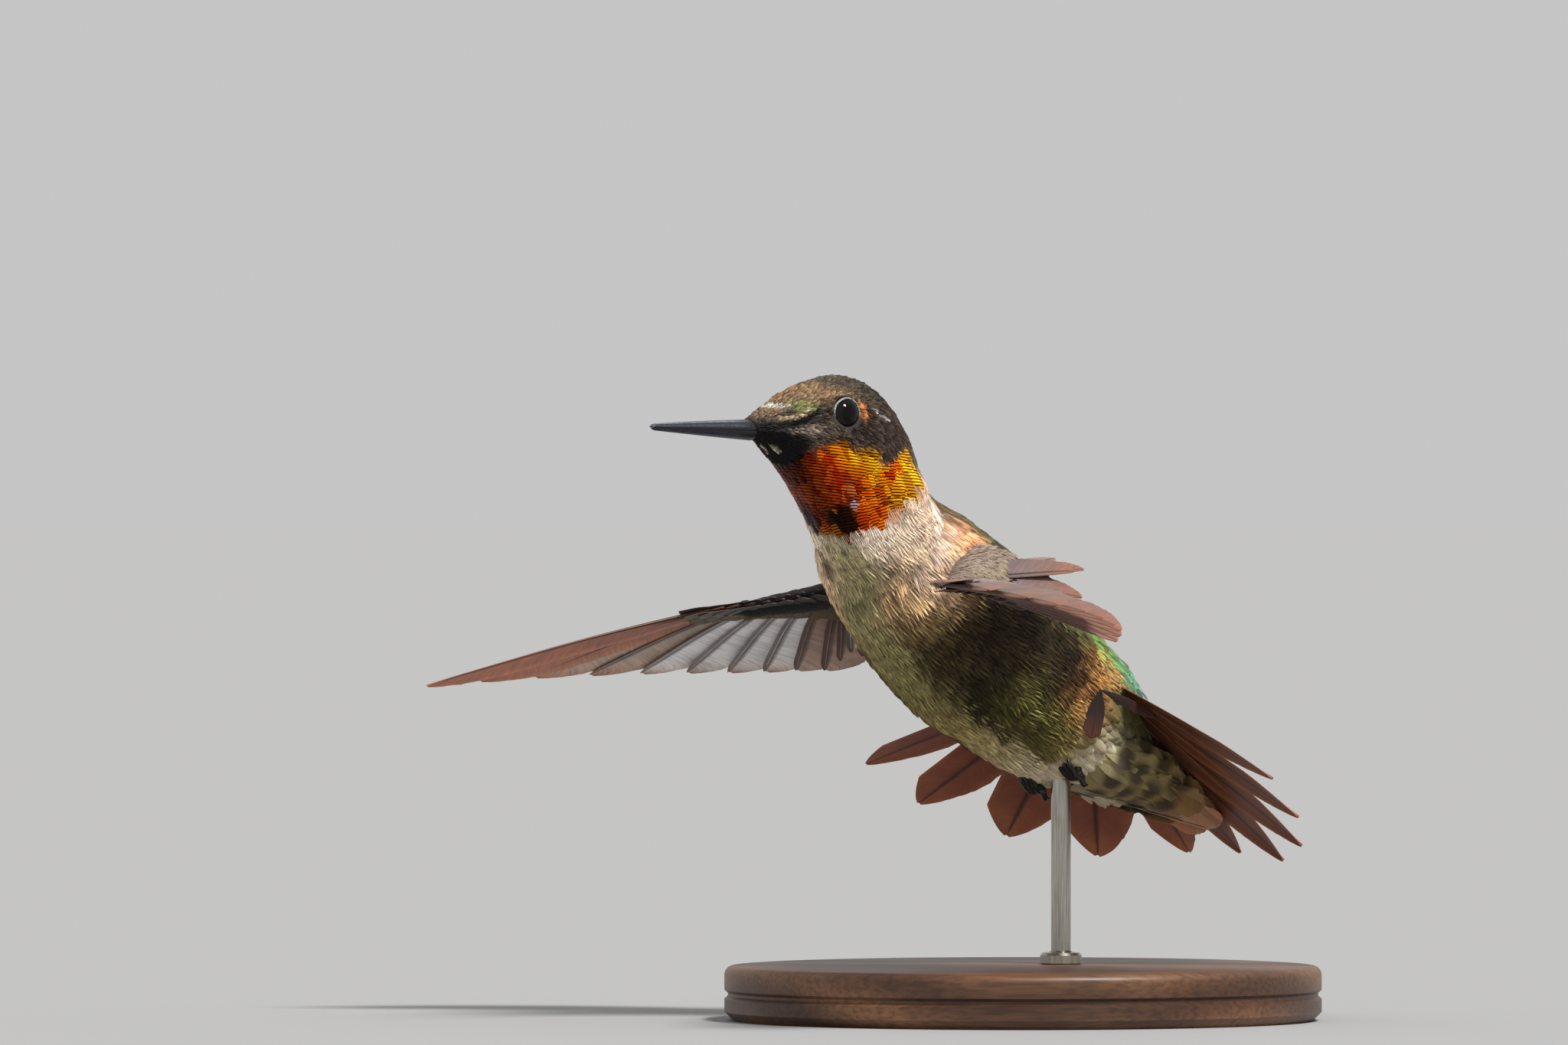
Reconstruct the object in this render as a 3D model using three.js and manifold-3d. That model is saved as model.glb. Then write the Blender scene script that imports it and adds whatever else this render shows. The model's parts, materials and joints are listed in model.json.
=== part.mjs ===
// Ruby-throated hummingbird, adult male, hovering: a still, life-size museum model on a plain stand.
//
// Millimetres. x runs to the right, y away from the viewer and z up, from the centre of the stand's
// underside. The bird faces left and toward the viewer, climbing, with both wings spread forward of
// its shoulders and its tail fanned wide. One spine carries the body: sections are set square to it
// from the base of the bill to the rump, and each named part is a length of it. The flight feathers
// are thin blades spread by angle from the hand, the forearm and the tail root.

import * as THREE from 'three';
import { mergeVertices } from 'three/addons/utils/BufferGeometryUtils.js';
import Module from 'manifold-3d';

const wasm = await Module();
wasm.setup();

const vec = (x, y, z) => new THREE.Vector3(x, y, z);
const rad = THREE.MathUtils.degToRad;

// ---------------------------------------------------------------- driving sizes

const GAP = 0.3;              // clearance between neighbouring pieces
const BLADE = 0.6;            // thickness of a flight feather's blade
const FINEST = 0.02;          // detail smaller than this is smoothed out of a cut piece
const SIDES = 26;             // facets round the body
const SMALL_SIDES = 12;       // facets round an arm or a half of the bill
const STEP = 1.7;             // length of one row of facets along the body

const STAND = { radius: 30, height: 5.5, bevel: 0.9, rodRadius: 1, rodTop: 30, rod: vec(3.9, 4.6, 0) };

// Directions: the trunk points from tail to head, the head looks along its bill.
const TRUNK_FORWARD = vec(-0.65, -0.469, 0.599).normalize();
const TRUNK_UP = vec(0.415, 0.4415, 0.796).normalize();
const HEAD_YAW = rad(46);     // how far the bill is turned toward the viewer
const HEAD_FORWARD = vec(-Math.cos(HEAD_YAW), -Math.sin(HEAD_YAW), 0);
const HEAD_UP = vec(0, 0, 1);
const HEAD_LEFT = HEAD_UP.clone().cross(HEAD_FORWARD);

const BILL_BASE = vec(-27.3, -21.4, 59.4);
const TRUNK_CENTRE = vec(-6.3, 0, 39.2);

const BILL = {
  length: 14.2,
  upperDepth: 1.05,
  lowerDepth: 0.84,
  width: 2.3,
  gape: 0.3,                  // opening between the halves
  root: 0.45,                 // distance from the face to the bill's root
  shorterUpper: 0.45,         // how much each half falls short of the full length
  shorterLower: 0.6,
  blunt: 0.3,                 // share of the root's size left at the tip
  taper: 0.75,
  places: [0, 0.12, 0.3, 0.55, 0.8, 0.95, 1],
};
const EYE = { radius: 1.95, behindBill: 8.5, side: 3.95, lift: 1.55 };

// A flight feather's outline: how wide it starts, where it is read, and how it swells to its full width.
const VANE = { root: 0.45, reach: 0.9, tip: 1.02, places: [0, 0.35, 0.7, 0.9, 1] };

const behindBill = (back, lift) => BILL_BASE.clone()
  .addScaledVector(HEAD_FORWARD, -back)
  .addScaledVector(HEAD_UP, lift);
const onTrunk = (forward, lift = 0) => TRUNK_CENTRE.clone()
  .addScaledVector(TRUNK_FORWARD, forward)
  .addScaledVector(TRUNK_UP, lift);

// The body's sections from bill to rump: centre, half width, depth toward the back and toward the
// belly, and how far the section has turned from the trunk's upright (0) to the head's (1).
const station = (centre, wide, back, belly, turn) => ({ centre, wide, back, belly, turn });
const BODY = [
  station(behindBill(0, 0), 1.25, 1.15, 1.15, 1),
  station(behindBill(1.6, 0.2), 2.4, 1.6, 2.0, 1),
  station(behindBill(4.4, 0.4), 3.8, 2.75, 4.2, 1),
  station(behindBill(8.2, 0.2), 5.1, 4.8, 6.1, 1),
  station(behindBill(11.8, -0.8), 5.8, 6.4, 7.5, 1),
  station(behindBill(14.6, -3.4), 6.0, 6.4, 7.5, 0.9),
  station(behindBill(16.6, -7.0), 6.0, 6.4, 6.9, 0.75),
  station(onTrunk(12.6, 1.0), 6.8, 7.9, 7.4, 0.3),
  station(onTrunk(6.7, 0.2), 7.9, 9.0, 8.7, 0),
  station(onTrunk(0), 8.6, 9.7, 9.6, 0),
  station(onTrunk(-6), 8.6, 9.5, 8.9, 0),
  station(onTrunk(-11.5), 8.0, 9.6, 8.1, 0),
  station(onTrunk(-16), 7.2, 9.6, 7.0, 0),
  station(onTrunk(-20), 6.0, 9.1, 5.0, 0),
  station(onTrunk(-23.5), 4.5, 7.9, 4.1, 0),
  station(onTrunk(-25.8, 0.3), 2.3, 3.6, 2.2, 0),
];

// Where the body is parted, as places between the rows of BODY.
const PARTS = [
  { name: 'head', from: 0, to: 5.2, colour: '#6d5a46' },
  { name: 'neck', from: 5.2, to: 7.1, colour: '#b8401c' },
  { name: 'breast', from: 7.1, to: 9.2, colour: '#d8c4a4' },
  { name: 'belly', from: 9.2, to: 12, colour: '#6f6a48' },
  { name: 'rump', from: 12, to: 15, colour: '#6fa07a' },
];

// Tail: ten feathers in two halves, numbered from the middle out.
const TAIL = {
  root: vec(7.0, 10.0, 34.0),
  back: vec(0.528, 0.434, -0.7315).normalize(),
  right: vec(-0.616, 0.788, 0.019).normalize(),
  lengths: [24, 26.5, 27.5, 28, 28],
  widths: [7.4, 7.8, 7.4, 6.2, 5.0],
  inner: rad(12),             // angle of the innermost feather off the middle line
  spacing: 0.35,              // distance from one feather's root to the next
  web: 14,                    // reach of the covered bases that join the blades
  webEdge: 0.2,               // how far that web laps over the outer feather
  cupPower: 1.5,              // how much the cup steepens toward the fan's edges
  point: 0.68,                // where a blade starts to round off
};
const TAIL_HALVES = [
  { name: 'tail_right', side: 1, step: rad(19.3), cup: rad(31), colour: '#6b3a2c' },
  { name: 'tail_left', side: -1, step: rad(15.6), cup: rad(15.7), colour: '#5a4036' },
];

// Covert feathers under the tail, as sections like the body's.
const COVERTS = [
  station(vec(5.6, 7.6, 26.6), 5.2, 5.0, 3.8, 0),
  station(vec(8.6, 9.0, 25.2), 5.2, 5.0, 3.3, 0),
  station(vec(12.4, 10.4, 23.4), 4.6, 4.0, 2.4, 0),
  station(vec(16.6, 12.0, 21.0), 3.3, 2.2, 1.4, 0),
  station(vec(20.0, 13.2, 18.9), 1.2, 0.6, 0.5, 0),
];

// Wings: arm joints, then the spread of the flight feathers. Azimuths run counter-clockwise from +x.
const PRIMARIES = {
  count: 10,
  shortest: 15.5,
  longest: 32.3,
  grow: 1.15,                 // how the lengths run from one to the other
  width: 5.2,
  outermost: 3.64,            // width of the outermost, which is narrower
  bow: 0.05,
};
const SECONDARIES = { count: 6, longest: 13, shortest: 10.5, width: 5.0, reach: 0.8 };
const WING_POINT = 0.72;      // where a wing feather's blade starts to round off
const ARM = {
  widths: [3.2, 2.7, 0.9],    // half sizes at the joints
  depths: [1.7, 1.3, 0.6],
  trail: 0.55,                // share of the half width by which the limb lies behind its joints
  rows: 11,
};
const WINGS = [
  {
    side: 'right',
    shoulder: vec(-13.4, 3.2, 44.6),
    wrist: vec(-16.9, 4.3, 43.8),
    handTip: vec(-31.2, 7.2, 41.0),
    lead: 158.5,              // azimuth of the outermost primary
    inner: 94.8,              // azimuth of the innermost primary
    root: 72,                 // azimuth of the innermost secondary
    midTurn: -6,              // how far the middle feathers swing off the even spread
    leadRise: -13.4,          // elevations of the same feathers
    innerRise: -33,
    rootRise: -33,
    midRise: 4,               // how far the middle feathers stand off the even spread
  },
  {
    side: 'left',
    shoulder: vec(-4.8, -6.8, 46.4),
    wrist: vec(-6.2, -11.2, 45.2),
    handTip: vec(-7.8, -24.4, 43.6),
    lead: -92,
    inner: -18,
    root: 10,
    midTurn: 0,
    leadRise: -1,
    innerRise: -24,
    rootRise: 2,
    midRise: 6,
  },
];

// Feet tucked against the belly, either side of the stand's rod.
const FOOT = {
  along: -18,                 // place along the trunk
  section: 12.5,              // the body section it hangs from
  aside: 1.5,
  apart: 2.6,
  shank: 0.45,                // radius
  heel: 0.9,                  // how far the toes' root stands off the belly
  toes: 3,
  toeLength: 2.4,
  toeSpread: 0.75,
  toeRadius: 0.36,
};

// ---------------------------------------------------------------- solids

const material = (colour, roughness = 0.7, metalness = 0) => (
  new THREE.MeshStandardMaterial({ color: colour, roughness, metalness })
);

// A closed body from rings of equal point counts, capped by a fan at each end.
function loft(rings) {
  const size = rings[0].length;
  const positions = rings.flat().flatMap((p) => [p.x, p.y, p.z]);
  const index = [];
  for (let r = 0; r + 1 < rings.length; r += 1) {
    for (let k = 0; k < size; k += 1) {
      const a = r * size + k;
      const b = r * size + (k + 1) % size;
      index.push(a, b, b + size, a, b + size, a + size);
    }
  }
  const cap = (ring, start, flip) => {
    const middle = ring.reduce((sum, p) => sum.add(p), vec(0, 0, 0)).divideScalar(size);
    const centre = positions.length / 3;
    positions.push(middle.x, middle.y, middle.z);
    for (let k = 0; k < size; k += 1) {
      const a = start + k;
      const b = start + (k + 1) % size;
      index.push(centre, flip ? b : a, flip ? a : b);
    }
  };
  cap(rings[0], 0, true);
  cap(rings.at(-1), (rings.length - 1) * size, false);
  const geometry = new THREE.BufferGeometry();
  geometry.setAttribute('position', new THREE.Float32BufferAttribute(positions, 3));
  geometry.setIndex(index);
  return geometry;
}

function solid(geometry) {
  const bare = geometry.clone();
  bare.deleteAttribute('normal');
  bare.deleteAttribute('uv');
  const merged = mergeVertices(bare, 1e-4);
  const mesh = new wasm.Mesh({
    numProp: 3,
    vertProperties: new Float32Array(merged.attributes.position.array),
    triVerts: new Uint32Array(merged.index.array),
  });
  const body = new wasm.Manifold(mesh);
  return body.volume() < 0 ? solid(turned(merged)) : body;
}

function turned(geometry) {
  const order = geometry.index.array;
  const flipped = geometry.clone();
  flipped.setIndex(Array.from(order, (_, i) => order[i - (i % 3) + (2 - (i % 3))]));
  return flipped;
}

function toGeometry(body) {
  const mesh = body.getMesh();
  const geometry = new THREE.BufferGeometry();
  geometry.setAttribute('position', new THREE.BufferAttribute(mesh.vertProperties, 3));
  geometry.setIndex(new THREE.BufferAttribute(mesh.triVerts, 1));
  return geometry;
}

const joined = (bodies) => bodies.reduce((sum, body) => sum.add(body));
const without = (body, cutters) => cutters.reduce((rest, cutter) => rest.subtract(cutter), body);

// The one piece that carries the most material, so that no crumb or sliver of a cut is left.
const mainPiece = (body) => (
  body.simplify(FINEST).decompose().reduce((a, b) => (a.volume() > b.volume() ? a : b))
);

const group = new THREE.Group();
function place(name, body, look) {
  const mesh = new THREE.Mesh(toGeometry(body), look);
  mesh.name = name;
  group.add(mesh);
}

// ---------------------------------------------------------------- body along the spine

// A smooth curve through equally spaced values, read at a place between them.
function smooth(values, place) {
  const last = values.length - 1;
  const i = Math.min(Math.floor(place), last - 1);
  const t = place - i;
  const get = (k) => values[Math.max(0, Math.min(last, k))];
  const [a, b, c, d] = [get(i - 1), get(i), get(i + 1), get(i + 2)];
  return b + 0.5 * t * (c - a + t * (2 * a - 5 * b + 4 * c - d + t * (3 * (b - c) + d - a)));
}

function sectionAt(rows, place) {
  const read = (pick) => smooth(rows.map(pick), place);
  const centreAt = (where) => vec(
    smooth(rows.map((row) => row.centre.x), where),
    smooth(rows.map((row) => row.centre.y), where),
    smooth(rows.map((row) => row.centre.z), where),
  );
  const reach = 0.05;
  const before = centreAt(Math.max(0, place - reach));
  const after = centreAt(Math.min(rows.length - 1, place + reach));
  const forward = before.sub(after).normalize();
  const up = TRUNK_UP.clone().lerp(HEAD_UP, Math.min(1, Math.max(0, read((row) => row.turn))));
  const left = up.cross(forward).normalize();
  return {
    centre: centreAt(place),
    forward,
    left,
    up: forward.clone().cross(left),
    wide: read((row) => row.wide),
    back: read((row) => row.back),
    belly: read((row) => row.belly),
  };
}

function ringAt(rows, place, grow = 0, shift = 0, sides = SIDES) {
  const s = sectionAt(rows, place);
  return Array.from({ length: sides }, (_, k) => {
    const angle = 2 * Math.PI * k / sides;
    const depth = Math.cos(angle) > 0 ? s.back : s.belly;
    return s.centre.clone()
      .addScaledVector(s.left, (s.wide + grow) * Math.sin(angle))
      .addScaledVector(s.up, (depth + grow) * Math.cos(angle))
      .addScaledVector(s.forward, shift);
  });
}

// A length of the body between two places. Its flat ends are drawn in by half the gap; grown by a
// clearance it is the envelope that neighbours are cut by, and its ends reach out instead.
function lengthOf(rows, from, to, grow = 0, sides = SIDES) {
  const drawIn = grow > 0 ? -grow : GAP / 2;
  const span = sectionAt(rows, from).centre.distanceTo(sectionAt(rows, to).centre);
  const count = Math.max(2, Math.round(span / STEP));
  const rings = Array.from({ length: count + 1 }, (_, i) => {
    const start = i ? 0 : (from > 0 ? -drawIn : grow);
    const end = i < count ? 0 : (to < rows.length - 1 ? drawIn : -grow);
    return ringAt(rows, from + (to - from) * i / count, grow, start + end, sides);
  });
  return solid(loft(rings));
}

const bodyEnvelope = joined(PARTS.map((part) => lengthOf(BODY, part.from, part.to, GAP)));

// ---------------------------------------------------------------- head

const eyeCentre = (side) => behindBill(EYE.behindBill, EYE.lift)
  .addScaledVector(HEAD_LEFT, side * EYE.side);

const ball = (centre, radius) => (
  solid(new THREE.SphereGeometry(radius, 14, 8).translate(centre.x, centre.y, centre.z))
);

const EYE_SIDES = [['eye_left', 1], ['eye_right', -1]];
const sockets = EYE_SIDES.map(([, side]) => ball(eyeCentre(side), EYE.radius + GAP));

for (const part of PARTS) {
  const length = lengthOf(BODY, part.from, part.to);
  place(part.name, part.name === 'head' ? without(length, sockets) : length, material(part.colour));
}
for (const [name, side] of EYE_SIDES) {
  place(name, ball(eyeCentre(side), EYE.radius), material('#0b0c10', 0.08));
}

// Half of the bill: a half-round bar that tapers to a blunt point.
function mandible(sign, length, depth) {
  const size = (t) => BILL.blunt + (1 - BILL.blunt) * (1 - t) ** BILL.taper;
  const rings = BILL.places.map((t) => {
    const centre = behindBill(-(BILL.root + t * length), sign * BILL.gape / 2);
    return Array.from({ length: SMALL_SIDES }, (_, k) => {
      const angle = Math.PI * k / (SMALL_SIDES - 1);
      return centre.clone()
        .addScaledVector(HEAD_LEFT, 0.5 * BILL.width * size(t) * Math.cos(angle))
        .addScaledVector(HEAD_UP, sign * depth * size(t) * Math.sin(angle));
    });
  });
  return solid(loft(rings));
}
const horn = material('#1a1c24', 0.35);
place('bill_upper', mandible(1, BILL.length - BILL.shorterUpper, BILL.upperDepth), horn);
place('bill_lower', mandible(-1, BILL.length - BILL.shorterLower, BILL.lowerDepth), horn.clone());

// ---------------------------------------------------------------- flight feathers

// A feather's blade: a bowed strip, widest past its middle, that narrows to a blunt tip.
function blade(feather, grow = 0) {
  const { base, along, across, length, width, bow, point } = feather;
  const normal = along.clone().cross(across).normalize();
  const half = BLADE / 2 + grow;
  const rings = VANE.places.map((t) => {
    const swell = VANE.root + (1 - VANE.root) * Math.sin(Math.PI * Math.min(0.5, t * VANE.reach));
    const tip = Math.sqrt(Math.max(0, 1 - ((t - point) / (VANE.tip - point)) ** 2));
    const reach = 0.5 * width * swell * (t > point ? tip : 1) + grow;
    const centre = base.clone()
      .addScaledVector(along, length * t + (t === 1 ? grow : 0))
      .addScaledVector(across, bow * length * t * t);
    const corner = (side, lift) => centre.clone()
      .addScaledVector(across, side * reach)
      .addScaledVector(normal, lift * half);
    return [corner(1, 1), corner(-1, 1), corner(-1, -1), corner(1, -1)];
  });
  return solid(loft(rings));
}

// Direction of a tail feather at an angle off the middle line: the fan is cupped toward the belly.
function tailDirection(half, angle) {
  const normal = TAIL.back.clone().cross(TAIL.right).normalize();
  const dip = half.cup * (angle / rad(90)) ** TAIL.cupPower;
  return TAIL.back.clone().multiplyScalar(Math.cos(angle) * Math.cos(dip))
    .addScaledVector(TAIL.right, half.side * Math.sin(angle) * Math.cos(dip))
    .addScaledVector(normal, -Math.sin(dip));
}

function tailFeathers(half) {
  return TAIL.lengths.map((length, i) => {
    const angle = TAIL.inner + half.step * i;
    const along = tailDirection(half, angle);
    const across = tailDirection(half, angle + 0.05).sub(tailDirection(half, angle - 0.05)).normalize();
    const base = TAIL.root.clone().addScaledVector(TAIL.right, half.side * TAIL.spacing * i);
    return { base, along, across, length, width: TAIL.widths[i], bow: 0, point: TAIL.point };
  });
}

// The covered bases of neighbouring feathers, filled in as one web.
function web(feathers, reach, grow = 0) {
  const pieces = [];
  for (let i = 0; i + 1 < feathers.length; i += 1) {
    const [a, b] = [feathers[i], feathers[i + 1]];
    const lift = a.along.clone().cross(a.across).normalize().multiplyScalar(BLADE / 2 + grow);
    const outline = [
      a.base.clone(),
      a.base.clone().addScaledVector(a.along, reach + grow),
      b.base.clone().addScaledVector(b.along, reach + grow),
      b.base.clone().addScaledVector(b.across, TAIL.webEdge),
    ];
    pieces.push(solid(loft([
      outline.map((p) => p.clone().add(lift)),
      outline.map((p) => p.clone().sub(lift)),
    ])));
  }
  return joined(pieces);
}

const tailEnvelopes = [];
for (const half of TAIL_HALVES) {
  const feathers = tailFeathers(half);
  const shape = (grow) => joined([...feathers.map((f) => blade(f, grow)), web(feathers, TAIL.web, grow)]);
  const piece = mainPiece(without(shape(0), [bodyEnvelope, ...tailEnvelopes]));
  tailEnvelopes.push(shape(GAP));
  place(half.name, piece, material(half.colour));
}

const coverts = lengthOf(COVERTS, 0, COVERTS.length - 1, 0, 20);
place('undertail_coverts', mainPiece(without(coverts, [bodyEnvelope, ...tailEnvelopes])), material('#a8a078'));

// ---------------------------------------------------------------- wings

function unitAt(azimuth, rise) {
  const [a, e] = [rad(azimuth), rad(rise)];
  return vec(Math.cos(e) * Math.cos(a), Math.cos(e) * Math.sin(a), Math.sin(e));
}

// The arm and hand under their coverts: flattened sections between the joints.
function arm(wing, grow = 0) {
  const joints = [wing.shoulder, wing.wrist, wing.handTip];
  const along = (t, axis) => smooth(joints.map((joint) => joint[axis]), t);
  const ahead = wing.handTip.clone().sub(wing.shoulder).normalize();
  const chord = unitAt(wing.inner, wing.innerRise);
  const thick = ahead.clone().cross(chord).normalize();
  const rings = Array.from({ length: ARM.rows + 1 }, (_, i) => {
    const t = 2 * i / ARM.rows;
    const wide = smooth(ARM.widths, t);
    const deep = smooth(ARM.depths, t) + grow;
    const overrun = grow * ((i === ARM.rows) - (i === 0));
    const centre = vec(along(t, 'x'), along(t, 'y'), along(t, 'z'))
      .addScaledVector(chord, wide * ARM.trail)
      .addScaledVector(ahead, overrun);
    return Array.from({ length: SMALL_SIDES }, (__, k) => {
      const angle = 2 * Math.PI * k / SMALL_SIDES;
      return centre.clone()
        .addScaledVector(chord, (wide + grow) * Math.cos(angle))
        .addScaledVector(thick, deep * Math.sin(angle));
    });
  });
  return solid(loft(rings));
}

// Direction of the flight feather at a place in the spread: 0 is the outermost primary, 1 the
// innermost, and 2 the innermost secondary.
function spreadAt(wing, where) {
  const hand = Math.min(1, where);
  const forearm = where - hand;
  const eased = forearm * forearm * (3 - 2 * forearm);
  const middle = Math.sin(Math.PI * hand);
  const azimuth = wing.lead + (wing.inner - wing.lead) * hand + (wing.root - wing.inner) * forearm
    + wing.midTurn * middle;
  const rise = wing.leadRise + (wing.innerRise - wing.leadRise) * hand
    + (wing.rootRise - wing.innerRise) * eased + wing.midRise * middle;
  return unitAt(azimuth, rise);
}

function flightFeathers(wing) {
  const feather = (base, where, length, width, bow) => {
    const along = spreadAt(wing, where);
    const across = spreadAt(wing, where + 0.08).sub(spreadAt(wing, Math.max(0, where - 0.08)));
    across.addScaledVector(along, -across.dot(along)).normalize();
    return { base, along, across, length, width, bow, point: WING_POINT };
  };
  const primaries = Array.from({ length: PRIMARIES.count }, (_, i) => {
    const inward = i / (PRIMARIES.count - 1);
    const base = wing.handTip.clone().lerp(wing.wrist, inward);
    const grown = (1 - inward) ** PRIMARIES.grow;
    const length = PRIMARIES.shortest + (PRIMARIES.longest - PRIMARIES.shortest) * grown;
    const width = i ? PRIMARIES.width : PRIMARIES.outermost;
    return feather(base, inward, length, width, PRIMARIES.bow * (1 - inward));
  });
  const secondaries = Array.from({ length: SECONDARIES.count }, (_, i) => {
    const inward = (i + 1) / SECONDARIES.count;
    const base = wing.wrist.clone().lerp(wing.shoulder, inward * SECONDARIES.reach);
    const length = SECONDARIES.longest + (SECONDARIES.shortest - SECONDARIES.longest) * inward;
    return feather(base, 1 + inward, length, SECONDARIES.width, 0);
  });
  return { primaries, secondaries };
}

for (const wing of WINGS) {
  const { primaries, secondaries } = flightFeathers(wing);
  const limb = without(arm(wing), [bodyEnvelope]);
  const hand = joined(primaries.map((f) => blade(f)));
  const handEnvelope = joined(primaries.map((f) => blade(f, GAP)));
  const forearm = joined(secondaries.map((f) => blade(f)));
  const limbEnvelope = arm(wing, GAP);
  place(`wing_${wing.side}_arm`, mainPiece(limb), material('#2a2620'));
  place(`wing_${wing.side}_primaries`, mainPiece(without(hand, [limbEnvelope, bodyEnvelope])),
    material('#8a6f68'));
  place(`wing_${wing.side}_secondaries`,
    mainPiece(without(forearm, [limbEnvelope, handEnvelope, bodyEnvelope])), material('#a08078'));
}

// ---------------------------------------------------------------- feet

// A tube of shrinking radius through points.
function tube(points, radius, endRadius) {
  const curve = new THREE.CatmullRomCurve3(points);
  const [rows, sides] = [4, 6];
  const frames = curve.computeFrenetFrames(rows, false);
  const rings = Array.from({ length: rows + 1 }, (_, i) => {
    const r = radius + (endRadius - radius) * i / rows;
    return Array.from({ length: sides }, (__, k) => {
      const angle = 2 * Math.PI * k / sides;
      return curve.getPointAt(i / rows)
        .addScaledVector(frames.normals[i], r * Math.cos(angle))
        .addScaledVector(frames.binormals[i], r * Math.sin(angle));
    });
  });
  return solid(loft(rings));
}

const TRUNK_LEFT = TRUNK_UP.clone().cross(TRUNK_FORWARD);
const fromBelly = (forward, side, drop) => onTrunk(forward, -drop).addScaledVector(TRUNK_LEFT, side);

for (const [name, side] of [['leg_left', 1], ['leg_right', -1]]) {
  const reach = FOOT.aside + FOOT.apart * side;
  const belly = sectionAt(BODY, FOOT.section);
  const heel = belly.belly * Math.sqrt(1 - (reach / belly.wide) ** 2) + FOOT.heel - GAP;
  const shank = tube([
    fromBelly(FOOT.along + 1.6, reach, heel - 2.4),
    fromBelly(FOOT.along + 0.6, reach, heel - 0.3),
    fromBelly(FOOT.along - 0.2, reach, heel + 0.1),
  ], FOOT.shank, FOOT.shank);
  const toes = Array.from({ length: FOOT.toes }, (_, i) => {
    const spread = (i - 1) * FOOT.toeSpread * side;
    return tube([
      fromBelly(FOOT.along - 0.2, reach, heel + 0.1),
      fromBelly(FOOT.along + 0.7, reach + spread * 0.7, heel + 0.7),
      fromBelly(FOOT.along + FOOT.toeLength, reach + spread, heel + 0.4),
    ], FOOT.toeRadius, FOOT.toeRadius * 0.75);
  });
  place(name, mainPiece(without(joined([shank, ...toes]), [bodyEnvelope])), material('#14120f', 0.5));
}

// ---------------------------------------------------------------- stand

const rim = STAND.radius - STAND.bevel;
const disc = new THREE.LatheGeometry([
  new THREE.Vector2(0, 0),
  new THREE.Vector2(rim, 0),
  new THREE.Vector2(STAND.radius, STAND.bevel),
  new THREE.Vector2(STAND.radius, STAND.height - STAND.bevel),
  new THREE.Vector2(rim, STAND.height),
  new THREE.Vector2(0, STAND.height),
], 48).rotateX(Math.PI / 2);
place('stand_base', solid(disc), material('#5a3d28', 0.45));

const rodBottom = STAND.height + GAP;
const rod = new THREE.CylinderGeometry(STAND.rodRadius, STAND.rodRadius, STAND.rodTop - rodBottom, 20)
  .rotateX(Math.PI / 2)
  .translate(STAND.rod.x, STAND.rod.y, (STAND.rodTop + rodBottom) / 2);
place('stand_rod', mainPiece(without(solid(rod), [bodyEnvelope])), material('#b8b4a8', 0.3, 1));

export default group;
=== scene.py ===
# %% [markdown]
# # A ruby-throated hummingbird, feather by feather
# This lesson dresses a still, life-size model of an adult male hummingbird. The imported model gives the
# frame: where the body, the wings, the tail and the stand are. Each step says what a piece is on the
# real bird, how it could be made, and why it is made this way.

# %% load the frame
import json
import math

import bmesh
import bpy
import numpy as np
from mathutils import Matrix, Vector

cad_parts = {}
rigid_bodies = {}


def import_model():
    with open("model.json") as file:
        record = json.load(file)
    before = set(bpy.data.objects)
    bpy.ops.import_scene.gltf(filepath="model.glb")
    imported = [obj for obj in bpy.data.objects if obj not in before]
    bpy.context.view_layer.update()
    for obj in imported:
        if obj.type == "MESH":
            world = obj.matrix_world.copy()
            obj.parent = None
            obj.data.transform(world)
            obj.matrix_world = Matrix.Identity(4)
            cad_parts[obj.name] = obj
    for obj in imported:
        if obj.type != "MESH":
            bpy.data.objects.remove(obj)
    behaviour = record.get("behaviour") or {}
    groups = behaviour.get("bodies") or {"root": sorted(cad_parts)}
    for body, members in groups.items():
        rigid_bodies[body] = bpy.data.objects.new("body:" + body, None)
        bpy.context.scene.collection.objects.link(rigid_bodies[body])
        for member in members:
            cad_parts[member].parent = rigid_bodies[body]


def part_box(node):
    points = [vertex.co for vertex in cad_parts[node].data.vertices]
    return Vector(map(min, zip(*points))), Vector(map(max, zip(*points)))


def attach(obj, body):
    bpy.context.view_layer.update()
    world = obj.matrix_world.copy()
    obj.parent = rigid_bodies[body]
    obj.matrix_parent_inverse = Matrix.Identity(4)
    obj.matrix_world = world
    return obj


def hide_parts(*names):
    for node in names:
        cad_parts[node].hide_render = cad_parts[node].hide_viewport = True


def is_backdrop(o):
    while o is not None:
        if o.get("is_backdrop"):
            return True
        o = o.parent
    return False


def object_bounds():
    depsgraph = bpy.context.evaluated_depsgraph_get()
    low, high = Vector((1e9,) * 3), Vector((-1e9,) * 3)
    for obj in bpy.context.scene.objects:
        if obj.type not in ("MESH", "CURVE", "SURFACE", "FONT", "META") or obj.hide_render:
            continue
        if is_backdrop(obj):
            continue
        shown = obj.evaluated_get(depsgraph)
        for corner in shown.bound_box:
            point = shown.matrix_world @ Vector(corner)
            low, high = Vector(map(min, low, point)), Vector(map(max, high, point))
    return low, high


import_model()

CAD_BOX = [list(corner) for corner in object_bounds()]
MM = 0.001                    # the frame is in metres, the sizes below are in millimetres
print("frame box in mm:", [[round(x / MM, 1) for x in corner] for corner in CAD_BOX])

# %% [markdown]
# ## Small helpers
# Colours are written as the hex values that a paint chart would give, and shaders work in linear
# light, so one function turns the first into the second. One small function adds a node to any tree,
# with its settings and its inputs, so that a material reads like a list of what it does.


# %% colour and node helpers
def linear(code):
    """A hex colour as linear red, green, blue."""
    value = np.array([int(code[i:i + 2], 16) for i in (1, 3, 5)]) / 255
    return np.where(value < 0.04045, value / 12.92, ((value + 0.055) / 1.055) ** 2.4)


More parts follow.
